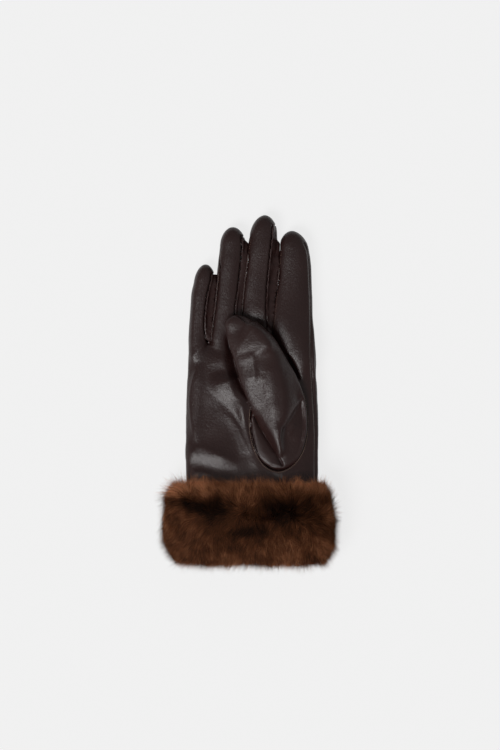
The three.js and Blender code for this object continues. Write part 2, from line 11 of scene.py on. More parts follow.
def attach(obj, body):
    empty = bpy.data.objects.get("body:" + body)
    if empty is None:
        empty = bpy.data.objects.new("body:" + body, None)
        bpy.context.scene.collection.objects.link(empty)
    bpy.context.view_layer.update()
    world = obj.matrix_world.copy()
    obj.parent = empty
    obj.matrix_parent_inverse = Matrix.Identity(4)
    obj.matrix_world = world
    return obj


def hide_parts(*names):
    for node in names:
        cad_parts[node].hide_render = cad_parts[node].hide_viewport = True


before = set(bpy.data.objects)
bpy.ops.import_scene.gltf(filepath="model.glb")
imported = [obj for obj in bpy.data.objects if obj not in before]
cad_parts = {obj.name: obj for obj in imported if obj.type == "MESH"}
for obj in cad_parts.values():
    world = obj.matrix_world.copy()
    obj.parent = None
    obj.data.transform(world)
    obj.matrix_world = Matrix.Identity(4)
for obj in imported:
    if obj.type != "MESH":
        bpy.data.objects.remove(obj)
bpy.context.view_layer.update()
bpy.ops.object.select_all(action="DESELECT")

# A right-hand leather glove with a deep fur cuff, lying palm up, fingers along +Y.
# Tables and lengths are in millimetres and are turned into metres when a mesh is made.
MM = 0.001

# The leather's thickness, and half the gap that a seam leaves
LEATHER = 1.2
GUSSET_LEATHER = 0.9
SEAM_GAP = 0.07

# How square the ovals of the hand are, how far apart they stand and how a tip closes
SQUARENESS = 2.35
ROUND_STEP = 1.5
TIP_ROUNDNESS = 0.55
TIP_ROUNDS = 14

# How fine and how smooth the skins are made, and the share of a wall's faces that is kept when
# its inner side is thinned out
TRANK_VOXEL = 0.8
TRANK_SMOOTHING = 22
THUMB_VOXEL = 0.6
THUMB_SMOOTHING = 8
INNER_SHARE = 0.55

# The hand from the wrist to the knuckles: side edges, underside and top along its length
HAND = np.array([
    # y, left, right, low, top
    (-74, -43.4, 48.4, 6.5, 21),
    (-64, -43.6, 48.7, 5.2, 20.8),
    (-50, -44, 49, 2.2, 20),
    (-34, -44, 49.1, -0.2, 18.6),
    (-16, -44, 48.9, -1, 17.4),
    (0, -43.5, 48.5, -1.2, 16.6),
    (13, -43, 47.3, -1.2, 16),
    (26, -42.3, 46.2, -1, 15),
    (34.5, -39.5, 43, 0.4, 11.6),
])

# Each finger: y, left, right, low and top along its length, and the x and y of its tip
FINGERS = {
    "little": ([
        (2, -39, -24, 4, 11),
        (18, -41.8, -24.6, 1, 13.4),
        (34, -42.3, -27.6, -1, 13.8),
        (46, -41.6, -26.9, -1, 13.4),
        (58, -40.9, -25.6, -1, 13.2),
        (68, -40.2, -24.5, -1, 13),
        (76, -38.3, -23.5, -1, 12.6),
    ], (-29.8, 88.8)),
    "ring": ([
        (2, -26, -7, 4, 11.5),
        (20, -26, -6.2, 1, 14.2),
        (36, -27.6, -6.1, -1, 14.8),
        (46, -26.1, -6.7, -1, 14.6),
        (60, -24.4, -6, -1, 14.3),
        (76, -22.8, -4.6, -1, 14),
        (90, -21.4, -3, -1, 13.8),
        (101, -20, -1.5, -1, 13.2),
    ], (-11.1, 114.9)),
    "middle": ([
        (2, -6.5, 15.5, 4, 12),
        (22, -7, 16.6, 1, 14.8),
        (42, -6.6, 15.4, -1, 15.2),
        (60, -5.2, 17, -1, 14.9),
        (76, -3.8, 18.5, -1, 14.6),
        (90, -2.2, 19.9, -1, 14.3),
        (101, -0.6, 20.5, -1, 14),
        (109.5, 1, 20.1, -1, 13.4),
    ], (11.6, 123.4)),
    "index": ([
        (2, 17, 44, 4, 12),
        (20, 16.2, 46.2, 1, 14.8),
        (38, 15.2, 46, -1, 15),
        (50, 17, 45.3, -1, 14.9),
        (64, 18.3, 44.9, -1, 14.7),
        (80, 19.8, 44.4, -1, 14.4),
        (92, 21, 43.7, -1, 14.1),
        (98.5, 21.9, 42.5, -1, 13.7),
    ], (30.6, 112.3)),
}

# The gusset strips between the fingers. crotch, right_end and notch are the y of a strip's low
# end, of its end on the right finger and of the place where the fingers part. Its seam is the y
# and x of its edge on the left finger, and on the right finger it lies between two heights.
GUSSET_LOW = 3
GUSSET_HIGH = 11
GUSSETS = {
    "fourchette_little_ring": {
        "left": "little", "right": "ring", "crotch": 33, "right_end": 100, "notch": 80.9,
        "seam": [(33, -29.2), (46, -30.8), (56, -30.3), (68, -28.6), (76, -26.5), (81.5, -25.7)],
    },
    "fourchette_ring_middle": {
        "left": "ring", "right": "middle", "crotch": 41.5, "right_end": 108, "notch": 101.9,
        "seam": [(41.5, -8.2), (56, -9.2), (69, -7.6), (87, -5.3), (100, -4.4), (107.5, -4.7)],
    },
    "fourchette_middle_index": {
        "left": "middle", "right": "index", "crotch": 38, "right_end": 98, "notch": 96.6,
        "seam": [(38, 14), (56, 12.4), (69, 12.8), (82, 13.8), (96, 15.2), (107, 16.4), (115.5, 16.9)],
    },
}

# The sewn seam on the index-finger side: y, x and the height above which it runs
SIDE_SEAM = np.array([
    (-76, 46.9, 13.5),
    (-50, 47, 11.5),
    (-28, 46.9, 9.5),
    (6, 45, 8),
    (24, 43.9, 7.5),
    (42, 44.1, 7.5),
    (60, 43.9, 7.5),
    (78, 43.2, 7.5),
    (96, 42, 7.5),
    (104, 39, 7.5),
])

# The thumb: x, y, half width and top from the low end of its seam to its last full round
THUMB = np.array([
    (20.8, -54.2, 5.6, 21.2),
    (21, -50.6, 10.9, 21.8),
    (21.2, -44, 15.7, 22.8),
    (21.1, -35, 18.6, 24.2),
    (21.1, -24, 20, 25.2),
    (20.9, -12, 19.3, 25.9),
    (17, -0.5, 18.9, 26.4),
    (12.3, 10, 18.3, 26.6),
    (5.2, 25.2, 16.1, 26),
    (-1.1, 36, 13.3, 24.9),
    (-4.9, 43.6, 11.3, 23.6),
])
THUMB_START = (20.7, -56.8)
THUMB_TIP = (-8.6, 53)
THUMB_ROUNDS = 84

# Height of the thumb's underside in its seam and where it is free, the stretch of y on which it
# comes free, the height that its opening is cut at, and how square its sewn end is
THUMB_RIM = 12
THUMB_LOW = 13.6
THUMB_FREEING = (-26, 6)
THUMB_OPEN = 12.4
THUMB_SEAM_SQUARENESS = 9

# The oval hole that the thumb is sewn into
THUMB_HOLE = [
    (20.6, -55.9), (12.6, -52.7), (7, -45.4), (3.6, -36.5), (1.9, -26), (2.2, -13.7),
    (4.6, -1), (10.5, 10), (20.5, 14.5), (30, 10.5), (35.8, 1.5), (39.2, -9),
    (40.4, -23.9), (39.1, -35.8), (35.6, -45.4), (29, -52.7),
]

# Broad folds that the CAD model has too: x and y of both ends, width and height
HAND_SWELLS = [
    (-6.5, -6, 5, -50, 3.4, 1.3),
    (-12, -19, -3, -42, 2.6, 0.8),
    (-24, 3, -14, -13, 7, 1.2),
    (-35, 16, -37.5, -32, 3.4, 0.8),
    (-36, -44, -12, -49, 3.4, 1.1),
    (-34, -53, -12, -57, 3.6, -0.8),
    (42, 4, 44, -20, 2.6, 0.5),
]
THUMB_SWELLS = [
    (3.5, -17, 22, -46, 3.2, -2.4),
    (15, 12, 22, -44, 5, 1.2),
    (35, -8, 25, -26, 3.2, -1.8),
    (5, -24, 15, -50, 2, 0.6),
]

# Fine folds. A ridge is a crest with its own width on its left and on its right. A roll is a
# valley line with a bulge on each side, as the skin is pulled in along it.
PALM_FOLDS = [
    # kind, points along it, left width, right width, left rise, right rise
    ("roll", [(-30, 14), (-27, -0.5), (-18.5, -10), (-11, -18.7), (-6, -29)], 15, 7, 4.2, 0.3),
    ("ridge", [(-11, -19), (-7.5, -26), (-3.4, -35), (1.5, -45)], 3, 1.6, 0.5, 0.5),
    ("ridge", [(4.2, -45), (1.4, -37), (-1.4, -28), (-3.8, -17), (-6.4, -5)], 2.4, 2, 0.8, 0.8),
    ("ridge", [(-33.5, -41), (-38, -29), (-40, -15), (-40.2, -3), (-37.6, 11), (-33, 23)],
     2.2, 8, 1.4, 1.4),
    ("ridge", [(-41.5, -53), (-39.6, -45), (-34.6, -40.2), (-27, -42.2), (-18, -46.2), (-9, -50.5)],
     8, 5, 1.8, 1.8),
    ("ridge", [(-40.5, 20), (-37.5, 25.5), (-33, 30), (-28.6, 34)], 3.4, 2.6, 0.9, 0.9),
    ("ridge", [(-40, -59), (-33, -57), (-24, -60)], 2.2, 2.6, 0.5, 0.5),
    ("ridge", [(17, -60.5), (27, -57.5), (37, -54.5), (46, -51)], 4, 4, 1.2, 1.2),
    ("ridge", [(43.8, -38), (44.3, -20), (43.3, 2)], 1.6, 2.2, 0.3, 0.3),
    ("roll", [(36.5, 2), (31.5, 14), (25.5, 24.5), (16.8, 36), (7.2, 45), (-1, 52), (-6, 55)], 3, 11, 0, 3),
    ("ridge", [(38.6, 4.5), (34.6, 14.5), (29, 25), (22, 34)], 1.6, 3.4, 0.7, 0.7),
    ("ridge", [(36.6, 5), (33, 12), (28.4, 20.5), (25, 26)], 1.3, 1.5, -3.2, -3.2),
    ("ridge", [(1, -11), (-3.2, -1), (-7.9, 10.8), (-11.2, 24), (-14.2, 37), (-13.5, 46)], 2.8, 3, -3, -3),
    ("ridge", [(-8, -8), (-11, 0), (-14.4, 11), (-17.4, 21), (-20, 30)], 7, 3, 1.6, 1.6),
]
THUMB_FOLDS = [
    ("ridge", [(21.6, -31), (23.2, -18), (23, -2), (20, 14), (15, 28), (7, 40), (-2, 50)],
     13, 10, 2.4, 2.4),
    ("ridge", [(-4, 47), (5, 42), (12, 34), (16.5, 24)], 3.6, 9, 3.2, 3.2),
    ("ridge", [(1.5, 28), (4, 18), (4.5, 4)], 3, 5.5, 1.3, 1.3),
    ("ridge", [(23.3, -50), (22.5, -41.6), (21.4, -33), (21.8, -27), (24, -22)], 7, 1.8, 1.7, 1.7),
    ("ridge", [(22, -27), (25.5, -20.7), (30.8, -11.9), (36, -5.8)], 5, 2, 0.7, 0.7),
    ("ridge", [(26.6, -31.5), (30.2, -27.5), (32.2, -22)], 1.5, 1.5, 0.5, 0.5),
    ("ridge", [(-4, 26), (0.6, 31.5), (5, 34.5)], 2.6, 2.6, 0.2, 0.2),
    ("ridge", [(-5.4, 18), (-1.6, 11), (3, 3)], 2.4, 2.4, 0.34, 0.34),
    ("ridge", [(5.5, 25), (9.5, 30), (11.5, 36)], 2.6, 2.6, 0.15, 0.15),
    ("ridge", [(-1, 26), (4, 20), (8, 12)], 2.6, 2.6, -0.2, -0.2),
    ("ridge", [(9, 12), (12, 4), (13, -6)], 2.4, 2.4, 0.36, 0.36),
]

# The fold inside the thumb's seam: its valley runs up along the thumb's left side, and its
# ridge runs up the middle and then to the right edge
THUMB_VALLEY = [
    (23.6, -52), (22.1, -48.7), (18.6, -42.5), (14.2, -35.5), (9.8, -28.5), (4.6, -19.5), (1.8, -13.6),
]
THUMB_RIDGE = [(23.3, -50), (22.5, -41.6), (21.2, -31.5), (22, -27), (25.5, -20.7), (30.8, -11.9), (36, -5.8)]

# The thumb's crest, from which its right side falls towards the top of the palm
THUMB_CREST = [(21.6, -31), (23.2, -18), (23, -2), (20, 14), (15, 28), (8, 39), (2.5, 44)]
PALM_TOP = 16.6

# The cuff's hollow and the form that its hair tips reach: y, left, right, low, top
CUFF_HOLLOW = np.array([
    (-63.5, -43.9, 48.3, 4.7, 21.4),
    (-74, -43.8, 48.2, 6, 21.6),
    (-96, -44.2, 48.4, 6.4, 22),
    (-118, -44.6, 48.8, 6.4, 22.4),
])
CUFF_FUR = np.array([
    (-61.5, -48.8, 49.2, -1, 28),
    (-66, -50.8, 51.5, -2, 32.5),
    (-72, -52.3, 53.2, -2.4, 34.6),
    (-80, -57.3, 55.7, -2.6, 35.8),
    (-96, -59.8, 57.6, -2.6, 36.4),
    (-105, -55.8, 57.6, -2.6, 35.8),
    (-113, -50.4, 52.5, -2.2, 34),
    (-118, -46.4, 48.7, -1.6, 31.2),
    (-121.6, -43, 44, 0, 27),
])
PELT = 2
CUFF_MIDDLE = np.array([2.2, -91, 14])

# The y of both ends of the dense fur and of the cuff's hollow
FUR_TOP, FUR_END = -69, -117.5
CUFF_TOP, CUFF_END = -64.5, -118


# Curves and ovals

def unit(value):
    """A value held between 0 and 1."""
    return np.clip(value, 0, 1)


def eased(value):
    """A value held between 0 and 1, with a gentle start and end."""
    t = unit(value)
    return t * t * (3 - 2 * t)


def bell(away, width):
    """1 in the middle, falling to 0 on both sides."""
    return np.exp(-((away / width) ** 2))


def along(rows, column, at, key=0):
    """A column of a table at any places along it, on a smooth curve through its rows."""
    rows = np.asarray(rows, float)
    keys, values = rows[:, key], rows[:, column]
    if keys[-1] < keys[0]:
        keys, values = keys[::-1], values[::-1]
    at = np.asarray(at, float)
    i = np.clip(np.searchsorted(keys, at, side="right") - 1, 0, len(keys) - 2)
    before, after = np.maximum(i - 1, 0), np.minimum(i + 2, len(keys) - 1)
    span = keys[i + 1] - keys[i]
    t = unit((at - keys[i]) / span)
    slope_a = (values[i + 1] - values[before]) / (keys[i + 1] - keys[before])
    slope_b = (values[after] - values[i]) / (keys[after] - keys[i])
    return (
        (2 * t**3 - 3 * t**2 + 1) * values[i]
        + (t**3 - 2 * t**2 + t) * span * slope_a
        + (3 * t**2 - 2 * t**3) * values[i + 1]
        + (t**3 - t**2) * span * slope_b
    )


def section(rows, at):
    """Columns 1 to 4 of a table at a place along it."""
    return [along(rows, column, at) for column in (1, 2, 3, 4)]


def run_along(points):
    """How far along a line each of its points lies."""
    return np.concatenate([[0], np.cumsum(np.linalg.norm(np.diff(points, axis=0), axis=1))])


def smooth_path(points, count, closed=False):
    """Even places on a smooth curve through a few points."""
    p = np.asarray(points, float)
    p = np.concatenate([p[-1:], p, p[:2]] if closed else [p[:1], p, p[-1:]])
    t = np.linspace(0, 1, 24, endpoint=False)[:, None]
    fine = [
        0.5 * (2 * b + (c - a) * t + (2 * a - 5 * b + 4 * c - d) * t**2 + (3 * b - a - 3 * c + d) * t**3)
        for a, b, c, d in zip(p, p[1:], p[2:], p[3:])
    ]
    fine = np.concatenate([*fine, p[-2:-1]])
    reach = run_along(fine)
    wanted = np.linspace(0, reach[-1], count, endpoint=not closed)
    return np.stack([np.interp(wanted, reach, fine[:, k]) for k in range(p.shape[1])], axis=1)


def signed_power(value, power):
    return np.sign(value) * np.abs(value) ** power


def swell_height(swells, x, y):
    """Height of the broad folds over a place."""
    height = np.zeros_like(x)
    for from_x, from_y, to_x, to_y, width, rise in swells:
        run_x, run_y = to_x - from_x, to_y - from_y
        t = unit(((x - from_x) * run_x + (y - from_y) * run_y) / (run_x**2 + run_y**2))
        away = np.hypot(x - from_x - run_x * t, y - from_y - run_y * t)
        height += rise * bell(away, width)
    return height


def oval_round(x, y, half, low, top, sides, middle=None, forward=(0, 1), swells=(), lower=SQUARENESS):
    """The points of one upright oval across a run."""
    angle = 2 * np.pi * np.arange(sides) / sides
    sine, cosine = np.sin(angle), np.cos(angle)
    middle = (low + top) / 2 if middle is None else middle
    power = 2 / np.where(sine < 0, lower, SQUARENESS)
    across = half * signed_power(cosine, power)
    px, py = x + across * forward[1], y - across * forward[0]
    reach = np.where(sine < 0, middle - low, top - middle)
    z = middle + reach * signed_power(sine, power)
    z = z + swell_height(swells, px, py) * np.sqrt(unit(sine))
    return np.stack([px, py, z], axis=1)


def tip_rounds(last, tip, sides):
    """Ovals that close a round tip from the last full one."""
    x, y, half, low, top = last
    middle = (low + top) / 2
    rounds = []
    for t in np.sin(np.arange(1, TIP_ROUNDS + 1) / (TIP_ROUNDS + 1) * np.pi / 2):
        scale = (1 - t * t) ** TIP_ROUNDNESS
        reach = (top - middle) * scale**0.8
        place = x + (tip[0] - x) * t, y + (tip[1] - y) * t
        rounds.append(oval_round(*place, half * scale, middle - reach, middle + reach, sides))
    return rounds


# Making and finishing meshes

def choose(*parts):
    """The parts alone are selected, and the first one is active."""
    bpy.ops.object.select_all(action="DESELECT")
    for part in parts:
        part.select_set(True)
    bpy.context.view_layer.objects.active = parts[0]


def finish_with(obj, kind, **settings):
    """A modifier is added and applied."""
    choose(obj)
    modifier = obj.modifiers.new(kind.lower(), kind)
    for key, value in settings.items():
        setattr(modifier, key, value)
    bpy.ops.object.modifier_apply(modifier=modifier.name)


def vectors(items, kind):
    """One vector for each vertex or face of a mesh."""
    values = np.empty(len(items) * 3, np.float32)
    items.foreach_get(kind, values)
    return values.reshape(-1, 3).astype(float)


def points_of(obj):
    """A mesh's vertices in millimetres."""
    return vectors(obj.data.vertices, "co") / MM


def normals_of(obj):
    return vectors(obj.data.vertices, "normal")


def move_points(obj, points):
    obj.data.vertices.foreach_set("co", (points * MM).astype(np.float32).ravel())
    obj.data.update()


def raise_skin(obj, rise):
    """Every point goes out along its normal."""
    move_points(obj, points_of(obj) + normals_of(obj) * rise[:, None])


@contextmanager
def edited(obj):
    """An object's mesh, open for editing and then written back."""
    mesh = bmesh.new()
    mesh.from_mesh(obj.data)
    yield mesh
    mesh.to_mesh(obj.data)
    mesh.free()


def loft(name, rounds, start, end):
    """A closed form through rounds of points: a sphere whose own rounds are moved to them."""
    rounds = np.asarray(rounds)
    count, sides = rounds.shape[:2]
    bpy.ops.mesh.primitive_uv_sphere_add(segments=sides, ring_count=count + 1, radius=1)
    obj = bpy.context.object
    obj.name = name
    ball = points_of(obj) * MM
    ring = np.rint(np.arccos(np.clip(ball[:, 2], -1, 1)) / np.pi * (count + 1)).astype(int)
    side = np.rint(np.arctan2(ball[:, 1], ball[:, 0]) / (2 * np.pi) * sides).astype(int) % sides
    placed = rounds[np.clip(ring - 1, 0, count - 1), side]
    placed[ring == 0] = start
    placed[ring == count + 1] = end
    move_points(obj, placed)
    return obj


def joined(name, parts):
    choose(*parts)
    bpy.ops.object.join()
    parts[0].name = name
    return parts[0]


def one_skin(obj, voxel, smoothing):
    """Overlapping forms become one even surface."""
    finish_with(obj, "REMESH", mode="VOXEL", voxel_size=voxel * MM)
    finish_with(obj, "SMOOTH", factor=0.5, iterations=smoothing)


FINGER_NAMES = list(FINGERS)
FINGER_CROTCHES = [gusset["crotch"] for gusset in GUSSETS.values()]
FREEING = 1


def freed(p, index, way):
    """One finger's points, drawn in from its neighbours (way 1) or let out again (way -1)."""
    rows = FINGERS[FINGER_NAMES[index]][0]
    x, y = p[:, 0], p[:, 1]
    left, right = along(rows, 1, y), along(rows, 2, y)
    centre, half = (left + right) / 2, (right - left) / 2
    scale = np.ones(len(p))
    for beside, crotches in (
        (x < centre, FINGER_CROTCHES[index - 1:index]),
        (x >= centre, FINGER_CROTCHES[index:index + 1]),
    ):
        for crotch in crotches:
            scale = np.where(beside, 1 - FREEING * eased((y - crotch + 0.5) / 4) / half, scale)
    out = p.copy()
    out[:, 0] = centre + (x - centre) * (scale if way > 0 else 1 / scale)
    return out


def finger_at(p):
    """Which finger a point belongs to, by its side of the lines between the fingers."""
    index = np.zeros(len(p), int)
    for left, right in zip(FINGER_NAMES, FINGER_NAMES[1:]):
        middle = (along(FINGERS[left][0], 2, p[:, 1]) + along(FINGERS[right][0], 1, p[:, 1])) / 2
        index += p[:, 0] > middle
    return index


def finger_form(name, rows, tip, sides=72):
    rows = np.array(rows)
    rounds = []
    for y in np.arange(rows[0, 0], rows[-1, 0] + 0.01, ROUND_STEP):
        left, right, low, top = section(rows, y)
        last = ((left + right) / 2, y, (right - left) / 2, low, top)
        rounds.append(oval_round(*last, sides))
    rounds += tip_rounds(last, tip, sides)
    end = (tip[0], tip[1], (last[3] + last[4]) / 2)
    form = loft(name, rounds, rounds[0].mean(axis=0), end)
    move_points(form, freed(points_of(form), FINGER_NAMES.index(name), 1))
    return form


def hand_form(sides=160):
    rounds = []
    for y in np.arange(HAND[0, 0] - 3, HAND[-1, 0] + 0.01, ROUND_STEP):
        left, right, low, top = section(HAND, y)
        rounds.append(oval_round(
            (left + right) / 2, y, (right - left) / 2, low, top, sides, swells=HAND_SWELLS
        ))
    return loft("hand_form", rounds, rounds[0].mean(axis=0), rounds[-1].mean(axis=0))


def thumb_form(sides=96):
    run = run_along(THUMB[:, :2])
    rows = np.column_stack([run, THUMB])
    rounds = []
    for place in run[-1] * np.linspace(0, 1, THUMB_ROUNDS) ** 1.2:
        x, y, half, top = section(rows, place)
        ahead, behind = min(place + 1, run[-1]), max(place - 1, 0)
        forward = np.array([along(rows, c, ahead) - along(rows, c, behind) for c in (1, 2)])
        forward /= np.linalg.norm(forward)
        free = eased((y - THUMB_FREEING[0]) / (THUMB_FREEING[1] - THUMB_FREEING[0]))
        low = THUMB_RIM + (THUMB_LOW - THUMB_RIM) * free
        shoulder = min(along(HAND, 4, y) - 1, top - 2)
        middle = shoulder + ((low + top) / 2 - shoulder) * free
        lower = THUMB_SEAM_SQUARENESS + (SQUARENESS - THUMB_SEAM_SQUARENESS) * free
        rounds.append(oval_round(x, y, half, low, top, sides, middle, forward, THUMB_SWELLS, lower))
        last = (x, y, half, low, top)
    rounds += tip_rounds(last, THUMB_TIP, sides)
    start = (*THUMB_START, (THUMB_RIM + THUMB[0, 3]) / 2)
    return loft("leather_thumb", rounds, start, (*THUMB_TIP, (last[3] + last[4]) / 2))


# Seams: how far each point of a skin lies from the cut, under 0 inside what the cut takes out

HOLE_LINE = smooth_path(THUMB_HOLE, 200, closed=True)
FAR = 99.0


def hole_distance(p):
    """Distance to the thumb hole's outline seen from above, under 0 inside."""
    x, y = p[:, 0], p[:, 1]
    a, b = HOLE_LINE, np.roll(HOLE_LINE, -1, axis=0)
    near = np.full(len(p), FAR)
    close = (x > -6) & (x < 49) & (y > -65) & (y < 24) & (p[:, 2] > 9)
    points = p[close][:, :2]
    best = np.full(len(points), FAR)
    inside = np.zeros(len(points), bool)
    for (ax, ay), (bx, by) in zip(a, b):
        run = np.array([bx - ax, by - ay])
        t = unit(((points - (ax, ay)) @ run) / (run @ run))
        best = np.minimum(best, np.linalg.norm(points - (ax, ay) - t[:, None] * run, axis=1))
        crosses = (ay > points[:, 1]) != (by > points[:, 1])
        inside ^= crosses & (points[:, 0] < (bx - ax) * (points[:, 1] - ay) / (by - ay + 1e-12) + ax)
    near[close] = np.where(inside, -best, best)
    return near


def seam_wave(y):
    """The small unevenness of a sewn edge."""
    return 0.09 * np.sin(y * 0.83) + 0.05 * np.sin(y * 1.7 + 1.1)


def gusset_distance(name, p):
    """Distance to the edge of a gusset's strip of skin, under 0 inside."""
    gusset = GUSSETS[name]
    x, y, z = p.T
    seam = np.array(gusset["seam"])
    left_rows, right_rows = (np.array(FINGERS[gusset[side]][0]) for side in ("left", "right"))
    right_edge = along(right_rows, 1, y)
    between = (along(left_rows, 2, y) + right_edge) / 2
    past = y - gusset["crotch"]
    at_crotch = np.clip(past / 1.5, 0.1, 1) * unit((5 - past) / 3)
    left_seam = np.maximum(along(seam, 1, y) + seam_wave(y), between - 0.2 - 0.55 * np.maximum(past, 0))
    on_left = np.maximum.reduce([
        left_seam - x, GUSSET_LOW - z, -past, y - seam[-1, 0], x - between - at_crotch,
    ])
    fade = np.clip((gusset["right_end"] - y) / 14, 0.12, 1)
    middle, half = (GUSSET_LOW + GUSSET_HIGH) / 2, (GUSSET_HIGH - GUSSET_LOW) / 2 * fade
    on_right = np.maximum.reduce([
        np.abs(z + 0.6 * seam_wave(y + 9) - middle) - half, x - right_edge - 4, -past,
        y - gusset["right_end"], between - at_crotch - x,
    ])
    return np.minimum(on_left, on_right)


def side_seam_distance(p):
    """Distance across the side seam, on the part of the skin that it runs on; far away elsewhere."""
    x, y, z = p.T
    distance = x - along(SIDE_SEAM, 1, y)
    runs = (y < SIDE_SEAM[-1, 0]) & (z > along(SIDE_SEAM, 2, y)) & (np.abs(distance) < 6)
    return np.where(runs, distance, np.where(distance < 0, -FAR, FAR))


def slope_of(distance, p, step=0.12):
    """How a distance changes along each axis."""
    slope = np.zeros_like(p)
    for axis in range(3):
        ahead, behind = p.copy(), p.copy()
        ahead[:, axis] += step
        behind[:, axis] -= step
        slope[:, axis] = (distance(ahead) - distance(behind)) / (2 * step)
    return slope


def pull_to(p, distance, wanted, reach):
    """Points are moved until they lie at the wanted distance from a seam."""
    p = p.copy()
    for _ in range(3):
        miss = distance(p) - wanted
        slope = slope_of(distance, p)
        size = np.clip((slope**2).sum(axis=1), 0.25, 4)
        step = -(miss / size)[:, None] * slope
        length = np.linalg.norm(step, axis=1, keepdims=True)
        p += step * np.minimum(1, reach / np.maximum(length, 1e-9))
    return p


def cut_skin(obj, distance, keep):
    """Keeps the faces on one side of a seam and pulls the new edge onto the seam."""
    values = distance(vectors(obj.data.polygons, "center") / MM) * keep
    with edited(obj) as mesh:
        mesh.faces.ensure_lookup_table()
        gone = [mesh.faces[i] for i in np.flatnonzero(values < 0)]
        before = {v for v in mesh.verts if v.is_boundary}
        bmesh.ops.delete(mesh, geom=gone, context="FACES")
        edge = [v for v in mesh.verts if v.is_boundary and v not in before]
        p = np.array([v.co[:] for v in edge]) / MM
        if len(p):
            p = pull_to(p, lambda q: distance(q) * keep, SEAM_GAP, 0.9)
            for v, place in zip(edge, p):
                v.co = place * MM


def largest_piece(obj):
    """Loose scraps of skin are removed."""
    with edited(obj) as mesh:
        seen, groups = set(), []
        for seed in mesh.verts:
            if seed in seen:
                continue
            group, front = [], [seed]
            seen.add(seed)
            while front:
                v = front.pop()
                group.append(v)
                beside = {e.other_vert(v) for e in v.link_edges} - seen
                seen |= beside
                front.extend(beside)
            groups.append(group)
        groups.sort(key=len)
        for group in groups[:-1]:
            bmesh.ops.delete(mesh, geom=group, context="VERTS")


def even_edge(obj):
    """The skin beside its open edges is evened out; the edges stay."""
    with edited(obj) as mesh:
        edge = {v for v in mesh.verts if v.is_boundary}
        ring, near = edge, set()
        for _ in range(3):
            ring = {e.other_vert(v) for v in ring for e in v.link_edges} - edge - near
            near |= ring
        beside = sorted(near, key=lambda v: v.index)
        for _ in range(5):
            places = [
                sum((e.other_vert(v).co for e in v.link_edges), Vector()) / len(v.link_edges) for v in beside
            ]
            for v, place in zip(beside, places):
                v.co = v.co.lerp(place, 0.5)


def refine_near(obj, distance, reach):
    """The faces near a seam are divided once more."""
    near = np.abs(distance(points_of(obj))) < reach
    with edited(obj) as mesh:
        edges = [e for e in mesh.edges if near[e.verts[0].index] and near[e.verts[1].index]]
        bmesh.ops.subdivide_edges(mesh, edges=edges, cuts=1, use_grid_fill=True, smooth=0)


def line_distance(q, line):
    """Distance to a line seen from above, its side (over 0 on its left) and the share of its run."""
    best = np.full(len(q), 1e9)
    side = np.zeros(len(q))
    share = np.zeros(len(q))
    for i in range(len(line) - 1):
        run = line[i + 1] - line[i]
        t = unit(((q - line[i]) @ run) / (run @ run))
        away = q - line[i] - t[:, None] * run
        distance = np.linalg.norm(away, axis=1)
        closer = distance < best
        best = np.where(closer, distance, best)
        side = np.where(closer, run[0] * away[:, 1] - run[1] * away[:, 0], side)
        share = np.where(closer, (i + t) / (len(line) - 1), share)
    return best, side, share


def fold_height(folds, p):
    """Height of the fine folds over the calm skin."""
    height = np.zeros(len(p))
    for kind, points, left_width, right_width, left_rise, right_rise in folds:
        line = smooth_path(points, 40)
        reach = 5 * max(left_width, right_width)
        low, high = line.min(axis=0) - reach, line.max(axis=0) + reach
        near = np.flatnonzero(((p[:, :2] > low) & (p[:, :2] < high)).all(axis=1))
        if not len(near):
            continue
        away, side, share = line_distance(p[near, :2], line)
        width = np.where(side > 0, left_width, right_width)
        rise = np.where(side > 0, left_rise, right_rise)
        crest = 0.25 + 0.3 * np.maximum(width - 2, 0)
        away = (np.hypot(away, crest) - crest) / width
        profile = np.exp(-away) if kind == "ridge" else away * np.exp(1 - away)
        height[near] += rise * profile * bell(away, 3) * eased(np.minimum(share, 1 - share) / 0.25)
    return height


def waves(p, sizes, heights, seed):
    """A calm uneven surface from a few crossing waves for each size."""
    draw = np.random.default_rng(seed)
    total = np.zeros(len(p))
    for size, height in zip(sizes, heights):
        for _ in range(6):
            direction = draw.normal(size=3)
            direction /= np.linalg.norm(direction)
            phase = draw.uniform(0, 2 * np.pi)
            bend = draw.uniform(0.6, 1.5) * np.sin(p @ draw.normal(size=3) / (size * 1.7) + phase)
            total += height / 2.4 * np.sin(p @ direction * 2 * np.pi / size + phase + bend)
    return total


def give_wall(obj, thickness, thin_out=True):
    """An open skin becomes a closed wall, with its inner side thinned out where that is wanted."""
    count = len(obj.data.vertices)
    finish_with(
        obj, "SOLIDIFY", thickness=thickness * MM, offset=-1, use_rim=True, use_quality_normals=True
    )
    if thin_out:
        inner = obj.vertex_groups.new(name="inner")
        inner.add(list(range(count, len(obj.data.vertices))), 1.0, "REPLACE")
        finish_with(obj, "DECIMATE", ratio=INNER_SHARE, vertex_group="inner")
        obj.vertex_groups.clear()


# The leather

def sewn_edge(distance):
    """How a sewn edge turns down at its seam, with a small roll beside it."""
    d = np.abs(distance)
    return -0.8 * bell(d, 0.75) + 0.14 * bell(d - 1.7, 0.8)


def wrist_distance(p):
    return p[:, 1] - HAND[0, 0]


glove_body = joined("glove_body", [hand_form()] + [
    finger_form(name, rows, tip) for name, (rows, tip) in FINGERS.items()
])
one_skin(glove_body, TRANK_VOXEL, TRANK_SMOOTHING)
p = points_of(glove_body)
index = finger_at(p)
for i in range(len(FINGER_NAMES)):
    p[index == i] = freed(p[index == i], i, -1)
p[:, 2] = np.maximum(p[:, 2], 0)
move_points(glove_body, p)
cut_skin(glove_body, wrist_distance, 1)


def skin_tree(obj):
    """A skin that rays can be sent at."""
    return BVHTree.FromObject(obj, bpy.context.evaluated_depsgraph_get())


